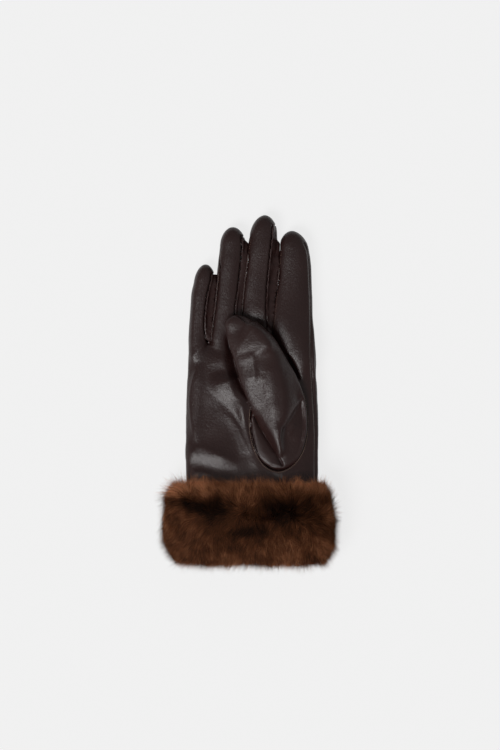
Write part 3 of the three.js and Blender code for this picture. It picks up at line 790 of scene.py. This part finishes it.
def copy_of(obj, name):
    choose(obj)
    bpy.ops.object.duplicate()
    copied = bpy.context.object
    copied.name = name
    return copied


def dress_hand(obj, seams):
    """Sewn edges and a calm unevenness on a piece of the hand's skin."""
    p = points_of(obj)
    off_floor = unit(p[:, 2] / 2.5)
    rise = waves(p, (34, 17, 9), (0.16, 0.06, 0.02), 4) * off_floor
    for distance in seams:
        rise += sewn_edge(distance(p))
    raise_skin(obj, rise)


gusset_cuts = {name: (lambda q, name=name: gusset_distance(name, q)) for name in GUSSETS}


def nearest_seam(p):
    values = [np.abs(distance(p)) for distance in gusset_cuts.values()]
    values += [np.abs(hole_distance(p)), np.abs(side_seam_distance(p))]
    return np.minimum.reduce(values)


refine_near(glove_body, nearest_seam, 1.8)
p = points_of(glove_body)
looks_up = unit(normals_of(glove_body)[:, 2] * 1.6)
under_thumb = along(THUMB, 2, p[:, 1], key=1) - np.abs(p[:, 0] - along(THUMB, 0, p[:, 1], key=1))
under_thumb = unit(under_thumb / 3) * unit((THUMB_TIP[1] - p[:, 1]) / 3) * (p[:, 1] > THUMB[0, 1])
raise_skin(glove_body, fold_height(PALM_FOLDS, p) * looks_up * unit((p[:, 2] - 7) / 2) * (1 - under_thumb))


def spread_out(obj, shift, rounds=4):
    """Points that don't move follow the ones beside them that do."""
    pairs = np.array([edge.vertices[:] for edge in obj.data.edges])
    pairs = np.concatenate([pairs, pairs[:, ::-1]])
    neighbours = np.maximum(np.bincount(pairs[:, 0], minlength=len(shift)), 1)
    out = shift.copy()
    for _ in range(rounds):
        mean = np.bincount(pairs[:, 0], out[pairs[:, 1]], minlength=len(shift)) / neighbours
        out = np.where(shift > 0, np.maximum(shift, mean), mean)
    return out


def shape_gusset(strip, name, body):
    """A gusset strip: rolled at its seams, with a few soft folds, and full enough to meet the next finger."""
    gusset = GUSSETS[name]
    p = points_of(strip)
    n = normals_of(strip)
    x, y, z = p.T
    faces_left = unit((-n[:, 0] - 0.1) / 0.3)
    from_seam = (x - along(gusset["seam"], 1, y)) * (1 - faces_left) + (GUSSET_HIGH - z) * faces_left
    roll = 0.32 * bell(from_seam - 0.6, 0.45) - 0.5 * bell(from_seam, 0.3)
    near_crotch = unit((gusset["crotch"] + 16 - y) / 14)
    folds = 0.34 * np.sin(y * 0.42 + 0.25 * z) + 0.16 * np.sin(y * 0.97 - 0.2 * z + 1.2)
    folds += 0.3 * near_crotch * np.sin(y * 1.3 - 0.3 * z + 0.4)
    open_face = unit(n[:, 2] * 1.6) * unit((from_seam - 0.8) / 1.6)
    moved = p + n * (roll + (folds - 0.55) * open_face)[:, None]
    widest = 2.5 + 0.9 * unit((gusset["notch"] - 2 - y) / 4)
    shift = np.zeros(len(p))
    for i in np.flatnonzero(n[:, 0] > 0.2):
        hit = body.ray_cast(Vector((p[i, 0] + 0.1, p[i, 1], p[i, 2])) * MM, Vector((1, 0, 0)))
        if hit[0] is not None and hit[3] / MM < widest[i] - 0.1:
            gap = hit[3] / MM + 0.1
            shift[i] = (gap + 0.12) * min(1, (widest[i] - gap) / 0.8)
    moved[:, 0] += spread_out(strip, shift)
    move_points(strip, moved)


body_skin = skin_tree(glove_body)
leather_gussets = []
for name, distance in gusset_cuts.items():
    strip = copy_of(glove_body, "leather_" + name)
    crotch = GUSSETS[name]["crotch"]
    cut_skin(strip, lambda q: distance(q) - 0.45 * unit((crotch + 8 - q[:, 1]) / 3), -1)
    largest_piece(strip)
    even_edge(strip)
    shape_gusset(strip, name, body_skin)
    give_wall(strip, GUSSET_LEATHER, thin_out=False)
    leather_gussets.append(strip)

leather_trank = glove_body
leather_trank.name = "leather_trank"
for distance in gusset_cuts.values():
    cut_skin(leather_trank, distance, 1)
cut_skin(leather_trank, hole_distance, 1)
largest_piece(leather_trank)
even_edge(leather_trank)
dress_hand(leather_trank, [*gusset_cuts.values(), hole_distance, side_seam_distance])
below_thumb = [skin_tree(obj) for obj in (leather_trank, *leather_gussets)]
give_wall(leather_trank, LEATHER)


def palm_height(x, y):
    """Height of the hand's skin at a place, in millimetres, or None outside it."""
    heights = []
    for skin in below_thumb:
        hit = skin.ray_cast(Vector((x * MM, y * MM, 0.05)), Vector((0, 0, -1)))
        if hit[0] is not None:
            heights.append(hit[0].z / MM)
    return max(heights, default=None)


ABOVE_PALM = 20.0


def from_hole(p):
    """Distance to the thumb hole's outline seen from above, at whatever height the points lie."""
    return hole_distance(np.column_stack([p[:, :2], np.full(len(p), ABOVE_PALM)]))


def fold_thumb(p):
    """The thumb's low end: a facet and a deep valley on its left, a ridge and a falling facet beside it."""
    inside = -from_hole(p)
    level = along(HAND, 4, p[:, 1])
    away, side, share = line_distance(p[:, :2], smooth_path(THUMB_VALLEY, 60))
    part = np.clip(inside, 0, None) / (np.clip(inside, 0, None) + away + 1e-6)
    facet = level + 0.3 + 1.5 * unit(4 * part * (1 - part)) ** 0.8 - 1.2 * part**3
    wall = level - 0.9 + 1.9 * away ** 0.85
    limit = np.where(side > 0, facet, wall) + 9 * unit((share - 0.82) / 0.18) ** 2
    z = p[:, 2]
    held = (inside > 0) & (p[:, 1] < -11) & (z > limit)
    soft = limit + 0.12 * (z - limit) / (1 + 0.4 * (z - limit))
    z = np.where(held, soft, z)
    away, side, share = line_distance(p[:, :2], smooth_path(THUMB_CREST, 60))
    fall = np.where(side < 0, eased(away / 14), 0) * unit(6 * share)
    z = np.where(z > PALM_TOP, PALM_TOP + (z - PALM_TOP) * (1 - 0.5 * fall), z)
    away, side, share = line_distance(p[:, :2], smooth_path(THUMB_RIDGE, 60))
    drop = 2.6 * (1 - np.exp(-away / 2.8)) * unit(inside / 2.4) * unit(4 * share)
    z = np.where((side < 0) & (inside > 0) & (z > 15), z - drop, z)
    return np.column_stack([p[:, :2], z])


# The thumb is shaped by the palm that it lies on
leather_thumb = thumb_form()
one_skin(leather_thumb, THUMB_VOXEL, THUMB_SMOOTHING)
p = fold_thumb(points_of(leather_thumb))
outside = from_hole(p) > 0.2
for i in np.flatnonzero(outside & (p[:, 2] < 21)):
    height = palm_height(*p[i, :2])
    if height is not None:
        p[i, 2] = max(p[i, 2], height + 0.35)
move_points(leather_thumb, p)
finish_with(leather_thumb, "SMOOTH", factor=0.5, iterations=3)


def stitches(name, line, spacing, long, thick, sunk):
    """A row of short rounded stitches along a line seen from above, laid on the palm."""
    reach = run_along(line)
    bpy.ops.mesh.primitive_uv_sphere_add(segments=6, ring_count=5, radius=1)
    first = bpy.context.object
    made = []
    for place in np.arange(spacing / 2, reach[-1], spacing):
        ends = []
        for at in (place - long / 2, place + long / 2):
            x, y = (np.interp(at, reach, line[:, k]) for k in (0, 1))
            height = palm_height(x, y)
            if height is not None:
                ends.append(Vector((x, y, height - sunk)) * MM)
        if len(ends) < 2 or abs(ends[0].z - ends[1].z) > long * MM:
            continue
        stitch = first.copy()
        stitch.data = first.data.copy()
        bpy.context.scene.collection.objects.link(stitch)
        stitch.location = (ends[0] + ends[1]) / 2
        stitch.rotation_euler = (ends[1] - ends[0]).to_track_quat("X", "Z").to_euler()
        stitch.scale = (long / 2 * MM, thick * MM, thick * MM)
        made.append(stitch)
    bpy.data.objects.remove(first)
    row = joined(name, made)
    choose(row)
    bpy.ops.object.transform_apply(location=True, rotation=True, scale=True)
    bpy.ops.object.shade_smooth()
    return row


def outside_line(points, distance):
    """The same closed line, moved outwards."""
    ahead = np.roll(points, -1, axis=0) - np.roll(points, 1, axis=0)
    ahead /= np.linalg.norm(ahead, axis=1, keepdims=True)
    return points + distance * np.stack([-ahead[:, 1], ahead[:, 0]], axis=1)


HOLE_SEAM_SHOWN = (-13.0, -1.0)  # the y where the seam comes out on the left and goes under on the right
shown = outside_line(HOLE_LINE, 1.2)
thumb_seam_line = np.array([p for p in shown if p[1] < HOLE_SEAM_SHOWN[int(p[0] > 20)]])
start = int(np.argmax(np.linalg.norm(np.diff(thumb_seam_line, axis=0), axis=1))) + 1
thumb_seam_line = np.roll(thumb_seam_line, -start, axis=0)
thumb_thread = stitches(
    "thumb_thread", thumb_seam_line, spacing=1.4, long=0.85, thick=0.34, sunk=-0.05
)
side_y = np.linspace(-60, 98, 80)
side_line = np.stack([along(SIDE_SEAM, 1, side_y) - 0.9, side_y], axis=1)
seam_rows = [stitches("side_seam_thread", side_line, spacing=1.7, long=1.0, thick=0.17, sunk=0.02)]
for name, gusset in GUSSETS.items():
    seam_y = np.linspace(gusset["crotch"] + 5, gusset["right_end"] - 2, 60)
    edge_x = along(FINGERS[gusset["right"]][0], 1, seam_y) + 1.55
    seam_line = np.stack([edge_x, seam_y], axis=1)
    seam_rows.append(stitches(name + "_thread", seam_line, spacing=1.5, long=0.9, thick=0.12, sunk=0.03))
seam_thread = joined("seam_thread", seam_rows)


def thumb_opening(q):
    """Over 0 on what stays: the thumb is open below, inside the hole."""
    return np.where(from_hole(q) < 0.5, q[:, 2] - THUMB_OPEN, 9.0)


cut_skin(leather_thumb, thumb_opening, 1)
largest_piece(leather_thumb)
p = points_of(leather_thumb)
upward = normals_of(leather_thumb)[:, 2]
rise = fold_height(THUMB_FOLDS, p) * unit(upward * 1.6)
rise += waves(p, (26, 13, 8), (0.14, 0.07, 0.03), 8) * unit(upward * 3)
raise_skin(leather_thumb, rise)
give_wall(leather_thumb, LEATHER)


# The fur

def cuff_point(y, share, angle, inset=0.0):
    """A point of the cuff at an angle round it, part of the way from its backing to the hair tips."""
    sides = []
    for column, outward in ((1, -1), (2, 1), (3, -1), (4, 1)):
        backing = along(CUFF_HOLLOW, column, y) + outward * (PELT - inset)
        sides.append(backing + (along(CUFF_FUR, column, y) - backing) * share)
    left, right, low, top = sides
    power = 2 / SQUARENESS
    x = (left + right) / 2 + (right - left) / 2 * signed_power(np.cos(angle), power)
    z = (low + top) / 2 + (top - low) / 2 * signed_power(np.sin(angle), power)
    return np.stack(np.broadcast_arrays(x, y, z), axis=-1)


def fur_root(u, v):
    """The dense fur's surface: u goes round, v from the wrist end to the mouth."""
    y = FUR_TOP + v * (FUR_END - FUR_TOP)
    ends = np.minimum(v, 1 - v)
    share = 0.18 + 0.5 * unit(ends / 0.12) ** 0.5
    return cuff_point(y, share, 2 * np.pi * u)


def fur_mass():
    """The dense fur and the cuff's own hollow, as one closed ring from a torus."""
    bpy.ops.mesh.primitive_torus_add(major_segments=180, minor_segments=64, major_radius=1, minor_radius=0.25)
    obj = bpy.context.object
    obj.name = "fur_mass"
    ring = points_of(obj) * MM
    u = (np.arctan2(ring[:, 1], ring[:, 0]) / (2 * np.pi)) % 1
    out = np.hypot(ring[:, 0], ring[:, 1]) - 1
    w = (np.arctan2(ring[:, 2], out) / (2 * np.pi)) % 1
    outer = w < 0.5
    v = np.where(outer, w * 2, 2 - w * 2)
    placed = fur_root(u, v)
    y = CUFF_TOP + v * (CUFF_END - CUFF_TOP)
    pressed = 1.1 * unit((0.28 - v) / 0.06)
    inset = PELT * unit((1 - v) / 0.05) ** 0.4 + pressed
    placed = np.where(outer[:, None], placed, cuff_point(y, 0, 2 * np.pi * u, inset))
    placed[:, 2] = np.maximum(placed[:, 2], 0.05)
    move_points(obj, placed)
    choose(obj)
    bpy.ops.object.mode_set(mode="EDIT")
    bpy.ops.mesh.select_all(action="SELECT")
    bpy.ops.mesh.normals_make_consistent(inside=False)
    bpy.ops.object.mode_set(mode="OBJECT")
    return obj


fur_base = fur_mass()

# The fur's tone along the cuff, and lighter and darker patches on it seen from above. The lighter tone at the
# far end and the lighter strips down both sides are painted light that lifts the shade on the cuff's sloping
# sides. The light tone next to the leather is partly the fur's own colour and partly painted light.
FUR_TONE = np.array([
    # y, tone
    # Painted light: the lighter tone towards the far end lifts the shade on the cuff's rolled end
    (-122, 0.6), (-116, 0.46), (-109, 0.4), (-102, 0.345), (-95, 0.32),
    # Partly painted light: the lighter tone next to the leather lifts the shade of hair leaning away from the
    # light
    (-86, 0.34), (-79, 0.37), (-73, 0.56), (-67, 0.82), (-60, 1),
])
FUR_PATCHES = [
    # x, y, half length, half width, turn, change of tone
    (-24, -82.5, 14, 5, -4, -0.4),
    (-41, -79.5, 13, 2.6, -14, -0.34),
    (-25, -91, 6, 5, 20, -0.18),
    (-18, -76, 9, 3, 10, -0.12),
    (23, -82.5, 15, 9, 4, -0.36),
    (28, -90, 10, 5, 20, -0.12),
    (1, -97.5, 12, 4.2, 6, -0.34),
    (1, -80, 9, 6, 0, 0.1),
    (-44, -98, 12, 12, 0, 0.1),
    (32, -107, 24, 8, -5, 0.12),
    (-47, -67, 18, 7, 14, 0.34),
    # Painted light: lighter strips down the left and right sides lift their shade
    (-60, -96, 6, 26, 0, 0.22),
    (60, -92, 9, 28, 0, 0.22),
    (44, -67, 15, 6, -10, 0.2),
]


def fur_tone(x, y, z):
    """How light the fur is at a place: 0 near black, 1 its lightest brown."""
    tone = np.interp(y, FUR_TONE[:, 0], FUR_TONE[:, 1])
    for px, py, long, wide, turn, change in FUR_PATCHES:
        c, s = math.cos(math.radians(turn)), math.sin(math.radians(turn))
        a = ((x - px) * c + (y - py) * s) / long
        b = (-(x - px) * s + (y - py) * c) / wide
        tone += change * np.exp(-((a * a + b * b) ** 1.2))
    p = np.stack([x, y, z], axis=1)
    # Painted light: hair low on the cuff's sides takes an even, lighter tone that lifts its shade at the
    # silhouette
    below = 0.5 + waves(p, (34, 17), (0.12, 0.08), 21)
    upper = unit((z - 5) / 7)
    tone = below + (tone - below) * upper
    return unit(tone + waves(p, (15, 8, 4), (0.05, 0.05, 0.03), 22))


# Where the hair parts, seen from above: x and y along a line from left to right
FUR_PARTING = np.array([
    (-60, -75.5), (-45, -78), (-30, -81.5), (-12, -86), (8, -90), (26, -86), (44, -88), (60, -90),
])


def hair_comb(root, normal):
    """The way that the hair lies: outward from its parting, with soft swirls."""
    x, y = root.T[:2]
    parting = np.interp(x, FUR_PARTING[:, 0], FUR_PARTING[:, 1])
    across = (x - np.clip(x, -40, 42)) / 10 + (x - 1) / 120
    comb = np.stack([across, (y - parting) / 7, np.zeros_like(x)], axis=1)
    comb[:, 0] += waves(root, (26, 13), (0.5, 0.35), 33) - 0.45 * bell(x, 30)
    comb[:, 1] += waves(root, (24, 12), (0.3, 0.25), 34)
    size = np.linalg.norm(comb, axis=1, keepdims=True)
    comb /= np.maximum(size, 1)
    swirl = waves(root, (30, 14), (0.42, 0.3), 31)
    c, s = np.cos(swirl), np.sin(swirl)
    comb[:, 0], comb[:, 1] = comb[:, 0] * c - comb[:, 1] * s, comb[:, 0] * s + comb[:, 1] * c
    comb -= (comb * normal).sum(axis=1, keepdims=True) * normal
    return comb


HAIRS_IN_CLUMP = 14


def hair_roots(draw, count):
    """Roots spread evenly over the dense fur, with their outward directions and their v."""
    u, v = draw.random(count * 3), draw.random(count * 3)
    step = 1e-3
    root = fur_root(u, v)
    du = fur_root(u + step, v) - fur_root(u - step, v)
    dv = fur_root(u, unit(v + step)) - fur_root(u, unit(v - step))
    normal = np.cross(du, dv)
    area = np.linalg.norm(normal, axis=1)
    normal /= np.maximum(area, 1e-9)[:, None]
    normal *= np.sign((normal * (root - CUFF_MIDDLE)).sum(axis=1))[:, None]
    under = normal[:, 2] < -0.35
    chance = area / np.quantile(area, 0.98) * np.where(under, 0.3, 1.0)
    kept = np.flatnonzero(draw.random(len(u)) < chance)[:count]
    return root[kept], normal[kept], v[kept]


def clump_centres(draw, root):
    """For each hair, the hair that its clump leans to."""
    n = len(root)
    centres = draw.choice(n, n // HAIRS_IN_CLUMP, replace=False)
    tree = kdtree.KDTree(len(centres))
    for i, c in enumerate(centres):
        tree.insert(root[c], i)
    tree.balance()
    return np.array([centres[tree.find(r)[1]] for r in root])


# A hair has five points, two at its root, two at its middle and one at its tip. Below are its
# faces and, for each point, its side, its share of the tone and its place on the hair's own
# cell of the sheet.
HAIR_FACES = np.array([(0, 1, 3), (0, 3, 2), (2, 3, 4)])
HAIR_SIDES = np.array([-1, 1, -1, 1, 0])
HAIR_SHADES = np.array([0.3, 0.3, 0.85, 0.85, 1.15])
HAIR_ON_SHEET = np.array([(0, 0), (1, 0), (0.1, 0.5), (0.9, 0.5), (0.5, 1)])


def hair_mesh(name, points, normals, tone):
    """The hairs as one object, with their tone and a cell of the sheet for each."""
    n = len(points)
    triangles = (np.arange(n)[:, None, None] * 5 + HAIR_FACES).reshape(-1, 3)
    mesh = bpy.data.meshes.new(name)
    mesh.vertices.add(n * 5)
    mesh.vertices.foreach_set("co", (points * MM).astype(np.float32).ravel())
    mesh.loops.add(len(triangles) * 3)
    mesh.loops.foreach_set("vertex_index", triangles.astype(np.int32).ravel())
    mesh.polygons.add(len(triangles))
    mesh.polygons.foreach_set("loop_start", np.arange(0, len(triangles) * 3, 3, dtype=np.int32))
    mesh.update(calc_edges=True)
    obj = bpy.data.objects.new(name, mesh)
    bpy.context.scene.collection.objects.link(obj)
    shade = unit(tone[:, None] * HAIR_SHADES)
    attribute = mesh.attributes.new("fur_tone", "FLOAT", "POINT")
    attribute.data.foreach_set("value", shade.astype(np.float32).ravel())
    layer = mesh.uv_layers.new(name="OFBake")
    columns = int(math.ceil(math.sqrt(n)))
    corner = np.stack([np.arange(n) % columns, np.arange(n) // columns], axis=1) / columns
    uv = corner[:, None, :] + (0.1 + 0.8 * HAIR_ON_SHEET) / columns
    layer.data.foreach_set("uv", uv.reshape(-1, 2)[triangles.ravel()].astype(np.float32).ravel())
    mesh.normals_split_custom_set_from_vertices(normals.reshape(-1, 3).astype(np.float32))
    return obj


def hair(name, count, seed, length, width, lift, darker):
    """One mesh of tapered hairs, rooted all over the dense fur."""
    draw = np.random.default_rng(seed)
    root, normal, v = hair_roots(draw, count)
    n = len(root)
    shown = normal * 0.7 + np.array([-0.08, -0.08, 0.6])
    ends = np.where(v < 0.5, 0.8, -1.0) * unit(1 - np.minimum(v, 1 - v) / 0.16)
    normal[:, 1] += ends * 0.9
    normal /= np.linalg.norm(normal, axis=1, keepdims=True)
    comb = hair_comb(root, normal)
    corner = unit((-36 - root[:, 0]) / 10) * unit((0.2 - v) / 0.08)
    size = length * draw.uniform(0.72, 1.18, n) * (1 + 0.3 * corner)
    rise = lift * draw.uniform(0.75, 1.3, n)
    jitter = draw.normal(scale=0.2, size=(n, 3))
    start_way = normal * (rise[:, None] + 0.3) + comb + jitter
    end_way = normal * rise[:, None] * 0.7 + comb * 1.2 + jitter
    start_way /= np.linalg.norm(start_way, axis=1, keepdims=True)
    end_way /= np.linalg.norm(end_way, axis=1, keepdims=True)
    middle = root + start_way * size[:, None] * 0.5
    tip = middle + end_way * size[:, None] * 0.55
    near = clump_centres(draw, root)
    clump = draw.uniform(0.0, 0.36, n)[:, None]
    tip += (tip[near] + (root - root[near]) * 0.55 - tip) * clump
    across = np.cross(tip - root, normal + draw.normal(scale=0.5, size=(n, 3)))
    across /= np.maximum(np.linalg.norm(across, axis=1, keepdims=True), 1e-9)
    wide = width * draw.uniform(0.7, 1.3, n)[:, None] / 2
    points = np.stack([
        root - across * wide, root + across * wide,
        middle - across * wide * 0.8, middle + across * wide * 0.8,
        tip,
    ], axis=1)
    points[:, :, 2] = np.maximum(points[:, :, 2], 0.15)
    clump_tone = draw.normal(scale=0.07, size=n)[near]
    tone = fur_tone(*(root + (tip - root) * 0.4).T) + draw.normal(scale=0.11, size=n) + clump_tone - darker
    soft = shown[:, None, :] + 0.3 * across[:, None, :] * HAIR_SIDES[None, :, None]
    soft /= np.linalg.norm(soft, axis=2, keepdims=True)
    return hair_mesh(name, points, soft, tone)


fur_pieces = [
    hair("fur_hair_a", 54000, seed=101, length=6.6, width=0.2, lift=0.72, darker=0),
    hair("fur_hair_b", 54000, seed=102, length=7.6, width=0.17, lift=0.68, darker=0.02),
    hair("fur_hair_c", 54000, seed=103, length=5.8, width=0.21, lift=0.78, darker=0.03),
    hair("fur_guard_hair", 26000, seed=104, length=11, width=0.14, lift=0.75, darker=0.16),
]


# Finishes

def set_inputs(node, **inputs):
    """Some inputs of a shader node; a name's _ is the space in the input's name."""
    for name, value in inputs.items():
        node.inputs[name.replace("_", " ")].default_value = value


def new_material(name, **inputs):
    material = bpy.data.materials.new(name)
    material.use_nodes = True
    tree = material.node_tree
    shader = tree.nodes["Principled BSDF"]
    set_inputs(shader, **inputs)
    return material, tree, shader


def add_node(tree, kind, **inputs):
    node = tree.nodes.new("ShaderNode" + kind)
    set_inputs(node, **inputs)
    return node


def ramp_of(tree, colours):
    """A colour ramp from pairs of place and colour."""
    node = tree.nodes.new("ShaderNodeValToRGB")
    ends = node.color_ramp.elements
    for end, (place, colour) in zip((ends[0], ends[1]), (colours[0], colours[-1])):
        end.position = place
        end.color = (*colour, 1)
    for place, colour in colours[1:-1]:
        ends.new(place).color = (*colour, 1)
    return node


def leather_grain():
    """Pebbled grain: a height, a tone and a gloss that change over the leather."""
    group = bpy.data.node_groups.new("leather_grain", "ShaderNodeTree")
    for name in ("Height", "Tone", "Gloss"):
        group.interface.new_socket(name, in_out="OUTPUT", socket_type="NodeSocketFloat")
    link = group.links.new
    out = group.nodes.new("NodeGroupOutput")
    place = add_node(group, "TexCoord")
    pebbles = add_node(group, "TexVoronoi", Scale=2200)
    pebbles.feature = "SMOOTH_F1"
    set_inputs(pebbles, Smoothness=0.6)
    wrinkles = add_node(group, "TexNoise", Scale=620, Detail=4)
    broad = add_node(group, "TexNoise", Scale=55, Detail=3)
    for node in (pebbles, wrinkles, broad):
        link(place.outputs["Object"], node.inputs["Vector"])
    relief = add_node(group, "Math")
    relief.operation = "MULTIPLY_ADD"
    relief.inputs[1].default_value = 0.45
    link(pebbles.outputs["Distance"], relief.inputs[0])
    link(wrinkles.outputs["Fac"], relief.inputs[2])
    # The fingers are worn more matt than the palm
    axes = add_node(group, "SeparateXYZ")
    worn = add_node(group, "MapRange", From_Min=0.01, From_Max=0.07, To_Max=0.3)
    worn.interpolation_type = "SMOOTHSTEP"
    matt = add_node(group, "Math")
    link(place.outputs["Object"], axes.inputs["Vector"])
    link(axes.outputs["Y"], worn.inputs["Value"])
    link(wrinkles.outputs["Fac"], matt.inputs[0])
    link(worn.outputs["Result"], matt.inputs[1])
    link(relief.outputs[0], out.inputs["Height"])
    link(broad.outputs["Fac"], out.inputs["Tone"])
    link(matt.outputs[0], out.inputs["Gloss"])
    return group


grain_group = leather_grain()


def leather(name, dark, light, rough):
    material, tree, shader = new_material(name, Specular_IOR_Level=0.5)
    link = tree.links.new
    grain = tree.nodes.new("ShaderNodeGroup")
    grain.node_tree = grain_group
    tone = ramp_of(tree, [(0.3, dark), (0.7, light)])
    link(grain.outputs["Tone"], tone.inputs["Fac"])
    link(tone.outputs["Color"], shader.inputs["Base Color"])
    gloss = add_node(tree, "MapRange", To_Min=rough - 0.05, To_Max=rough + 0.06)
    gloss.clamp = False
    link(grain.outputs["Gloss"], gloss.inputs["Value"])
    link(gloss.outputs["Result"], shader.inputs["Roughness"])
    relief = add_node(tree, "Bump", Strength=0.5, Distance=0.0004)
    link(grain.outputs["Height"], relief.inputs["Height"])
    link(relief.outputs["Normal"], shader.inputs["Normal"])
    return material


def ramp_finish(name, source, colours, **inputs):
    """A finish whose colour follows one value of its own."""
    material, tree, shader = new_material(name, **inputs)
    ramp = ramp_of(tree, colours)
    tree.links.new(source(tree), ramp.inputs["Fac"])
    tree.links.new(ramp.outputs["Color"], shader.inputs["Base Color"])
    return material


def hair_tone(tree):
    """The tone that each hair carries."""
    tone = add_node(tree, "Attribute")
    tone.attribute_name = "fur_tone"
    return tone.outputs["Fac"]


def pelt_tone(tree):
    noise = add_node(tree, "TexNoise", Scale=120)
    tree.links.new(add_node(tree, "TexCoord").outputs["Object"], noise.inputs["Vector"])
    return noise.outputs["Fac"]


# One leather in three copies: the thumb's and the gussets' are a little lighter than the trank's, as painted
# light that brightens the thumb and lifts the shade between the fingers
trank_leather = leather("trank_leather", (0.0205, 0.0068, 0.0059), (0.0255, 0.0092, 0.0079), 0.36)
thumb_leather = leather("thumb_leather", (0.0225, 0.0074, 0.0064), (0.028, 0.0102, 0.0087), 0.37)
gusset_leather = leather("gusset_leather", (0.025, 0.008, 0.0068), (0.032, 0.011, 0.0093), 0.38)
HAIR_COLOURS = [(0, (0.006, 0.0018, 0.0006)), (0.45, (0.12, 0.0405, 0.016)), (1, (0.8, 0.335, 0.165))]
PELT_COLOURS = [(0, (0.01, 0.005, 0.003)), (1, (0.03, 0.014, 0.008))]
fur_hair_finish = ramp_finish(
    "fur_hair", hair_tone, HAIR_COLOURS, Roughness=0.65, Specular_IOR_Level=0.05
)
fur_base_finish = ramp_finish("fur_base", pelt_tone, PELT_COLOURS, Roughness=0.8)


def dress(obj, material):
    obj.data.materials.clear()
    obj.data.materials.append(material)


def thread(name, colour):
    return new_material(name, Base_Color=(*colour, 1), Roughness=0.5)[0]


dress(seam_thread, thread("waxed_thread", (0.2, 0.125, 0.09)))
dress(thumb_thread, thread("thumb_thread", (0.27, 0.185, 0.145)))
dress(leather_trank, trank_leather)
dress(leather_thumb, thumb_leather)
for strip in leather_gussets:
    dress(strip, gusset_leather)
dress(fur_base, fur_base_finish)
for piece in fur_pieces:
    dress(piece, fur_hair_finish)
for obj in (leather_trank, leather_thumb, *leather_gussets, fur_base):
    choose(obj)
    bpy.ops.object.shade_smooth_by_angle(angle=math.radians(50))

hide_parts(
    "back_panel", "palm_panel", "little_finger_front", "ring_finger_front",
    "middle_finger_front", "index_finger_front",
)
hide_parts("thumb")
for strip, name in zip(leather_gussets, GUSSETS):
    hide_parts(name)
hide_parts("fur_cuff")
for piece in (
    leather_trank, leather_thumb, seam_thread, thumb_thread, *leather_gussets, fur_base, *fur_pieces
):
    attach(piece, "root")

# The floor, the light and the camera
bpy.ops.mesh.primitive_plane_add(size=4, location=(0, 0, -0.0002))
floor = bpy.context.object
floor.name = "floor"
floor_finish = new_material(
    "floor_paint", Base_Color=(0.11, 0.11, 0.11, 1), Roughness=0.9,
    Emission_Color=(1, 1, 1, 1), Emission_Strength=0.79,
)[0]
floor.data.materials.append(floor_finish)

world = bpy.data.worlds.new("studio")
world.use_nodes = True
set_inputs(world.node_tree.nodes["Background"], Color=(1, 1, 1, 1), Strength=0.16)
bpy.context.scene.world = world


def soft_sun(name, tilt, turn, spread, strength):
    light = bpy.data.lights.new(name, "SUN")
    light.energy = strength
    light.angle = math.radians(spread)
    obj = bpy.data.objects.new(name, light)
    bpy.context.scene.collection.objects.link(obj)
    obj.rotation_euler = (math.radians(tilt), 0, math.radians(turn))


soft_sun("key_light", tilt=40, turn=-42, spread=30, strength=2.05)
soft_sun("fill_light", tilt=30, turn=130, spread=80, strength=0.12)

# The picture is 750 pixels of 0.70 mm high, at the height of the glove's middle
CAMERA_HEIGHT = 3.0
GLOVE_MIDDLE = 0.014
PICTURE_HEIGHT = 0.525
PICTURE_MIDDLE = (0.00105, 0.01085)
SENSOR = 36
camera_data = bpy.data.cameras.new("camera")
camera_data.sensor_fit = "VERTICAL"
camera_data.sensor_height = SENSOR
camera_data.lens = SENSOR * (CAMERA_HEIGHT - GLOVE_MIDDLE) / PICTURE_HEIGHT
camera_data.clip_end = 20
camera = bpy.data.objects.new("camera", camera_data)
camera.location = (*PICTURE_MIDDLE, CAMERA_HEIGHT)
bpy.context.scene.collection.objects.link(camera)
bpy.context.scene.camera = camera
bpy.context.scene.view_settings.view_transform = "Standard"
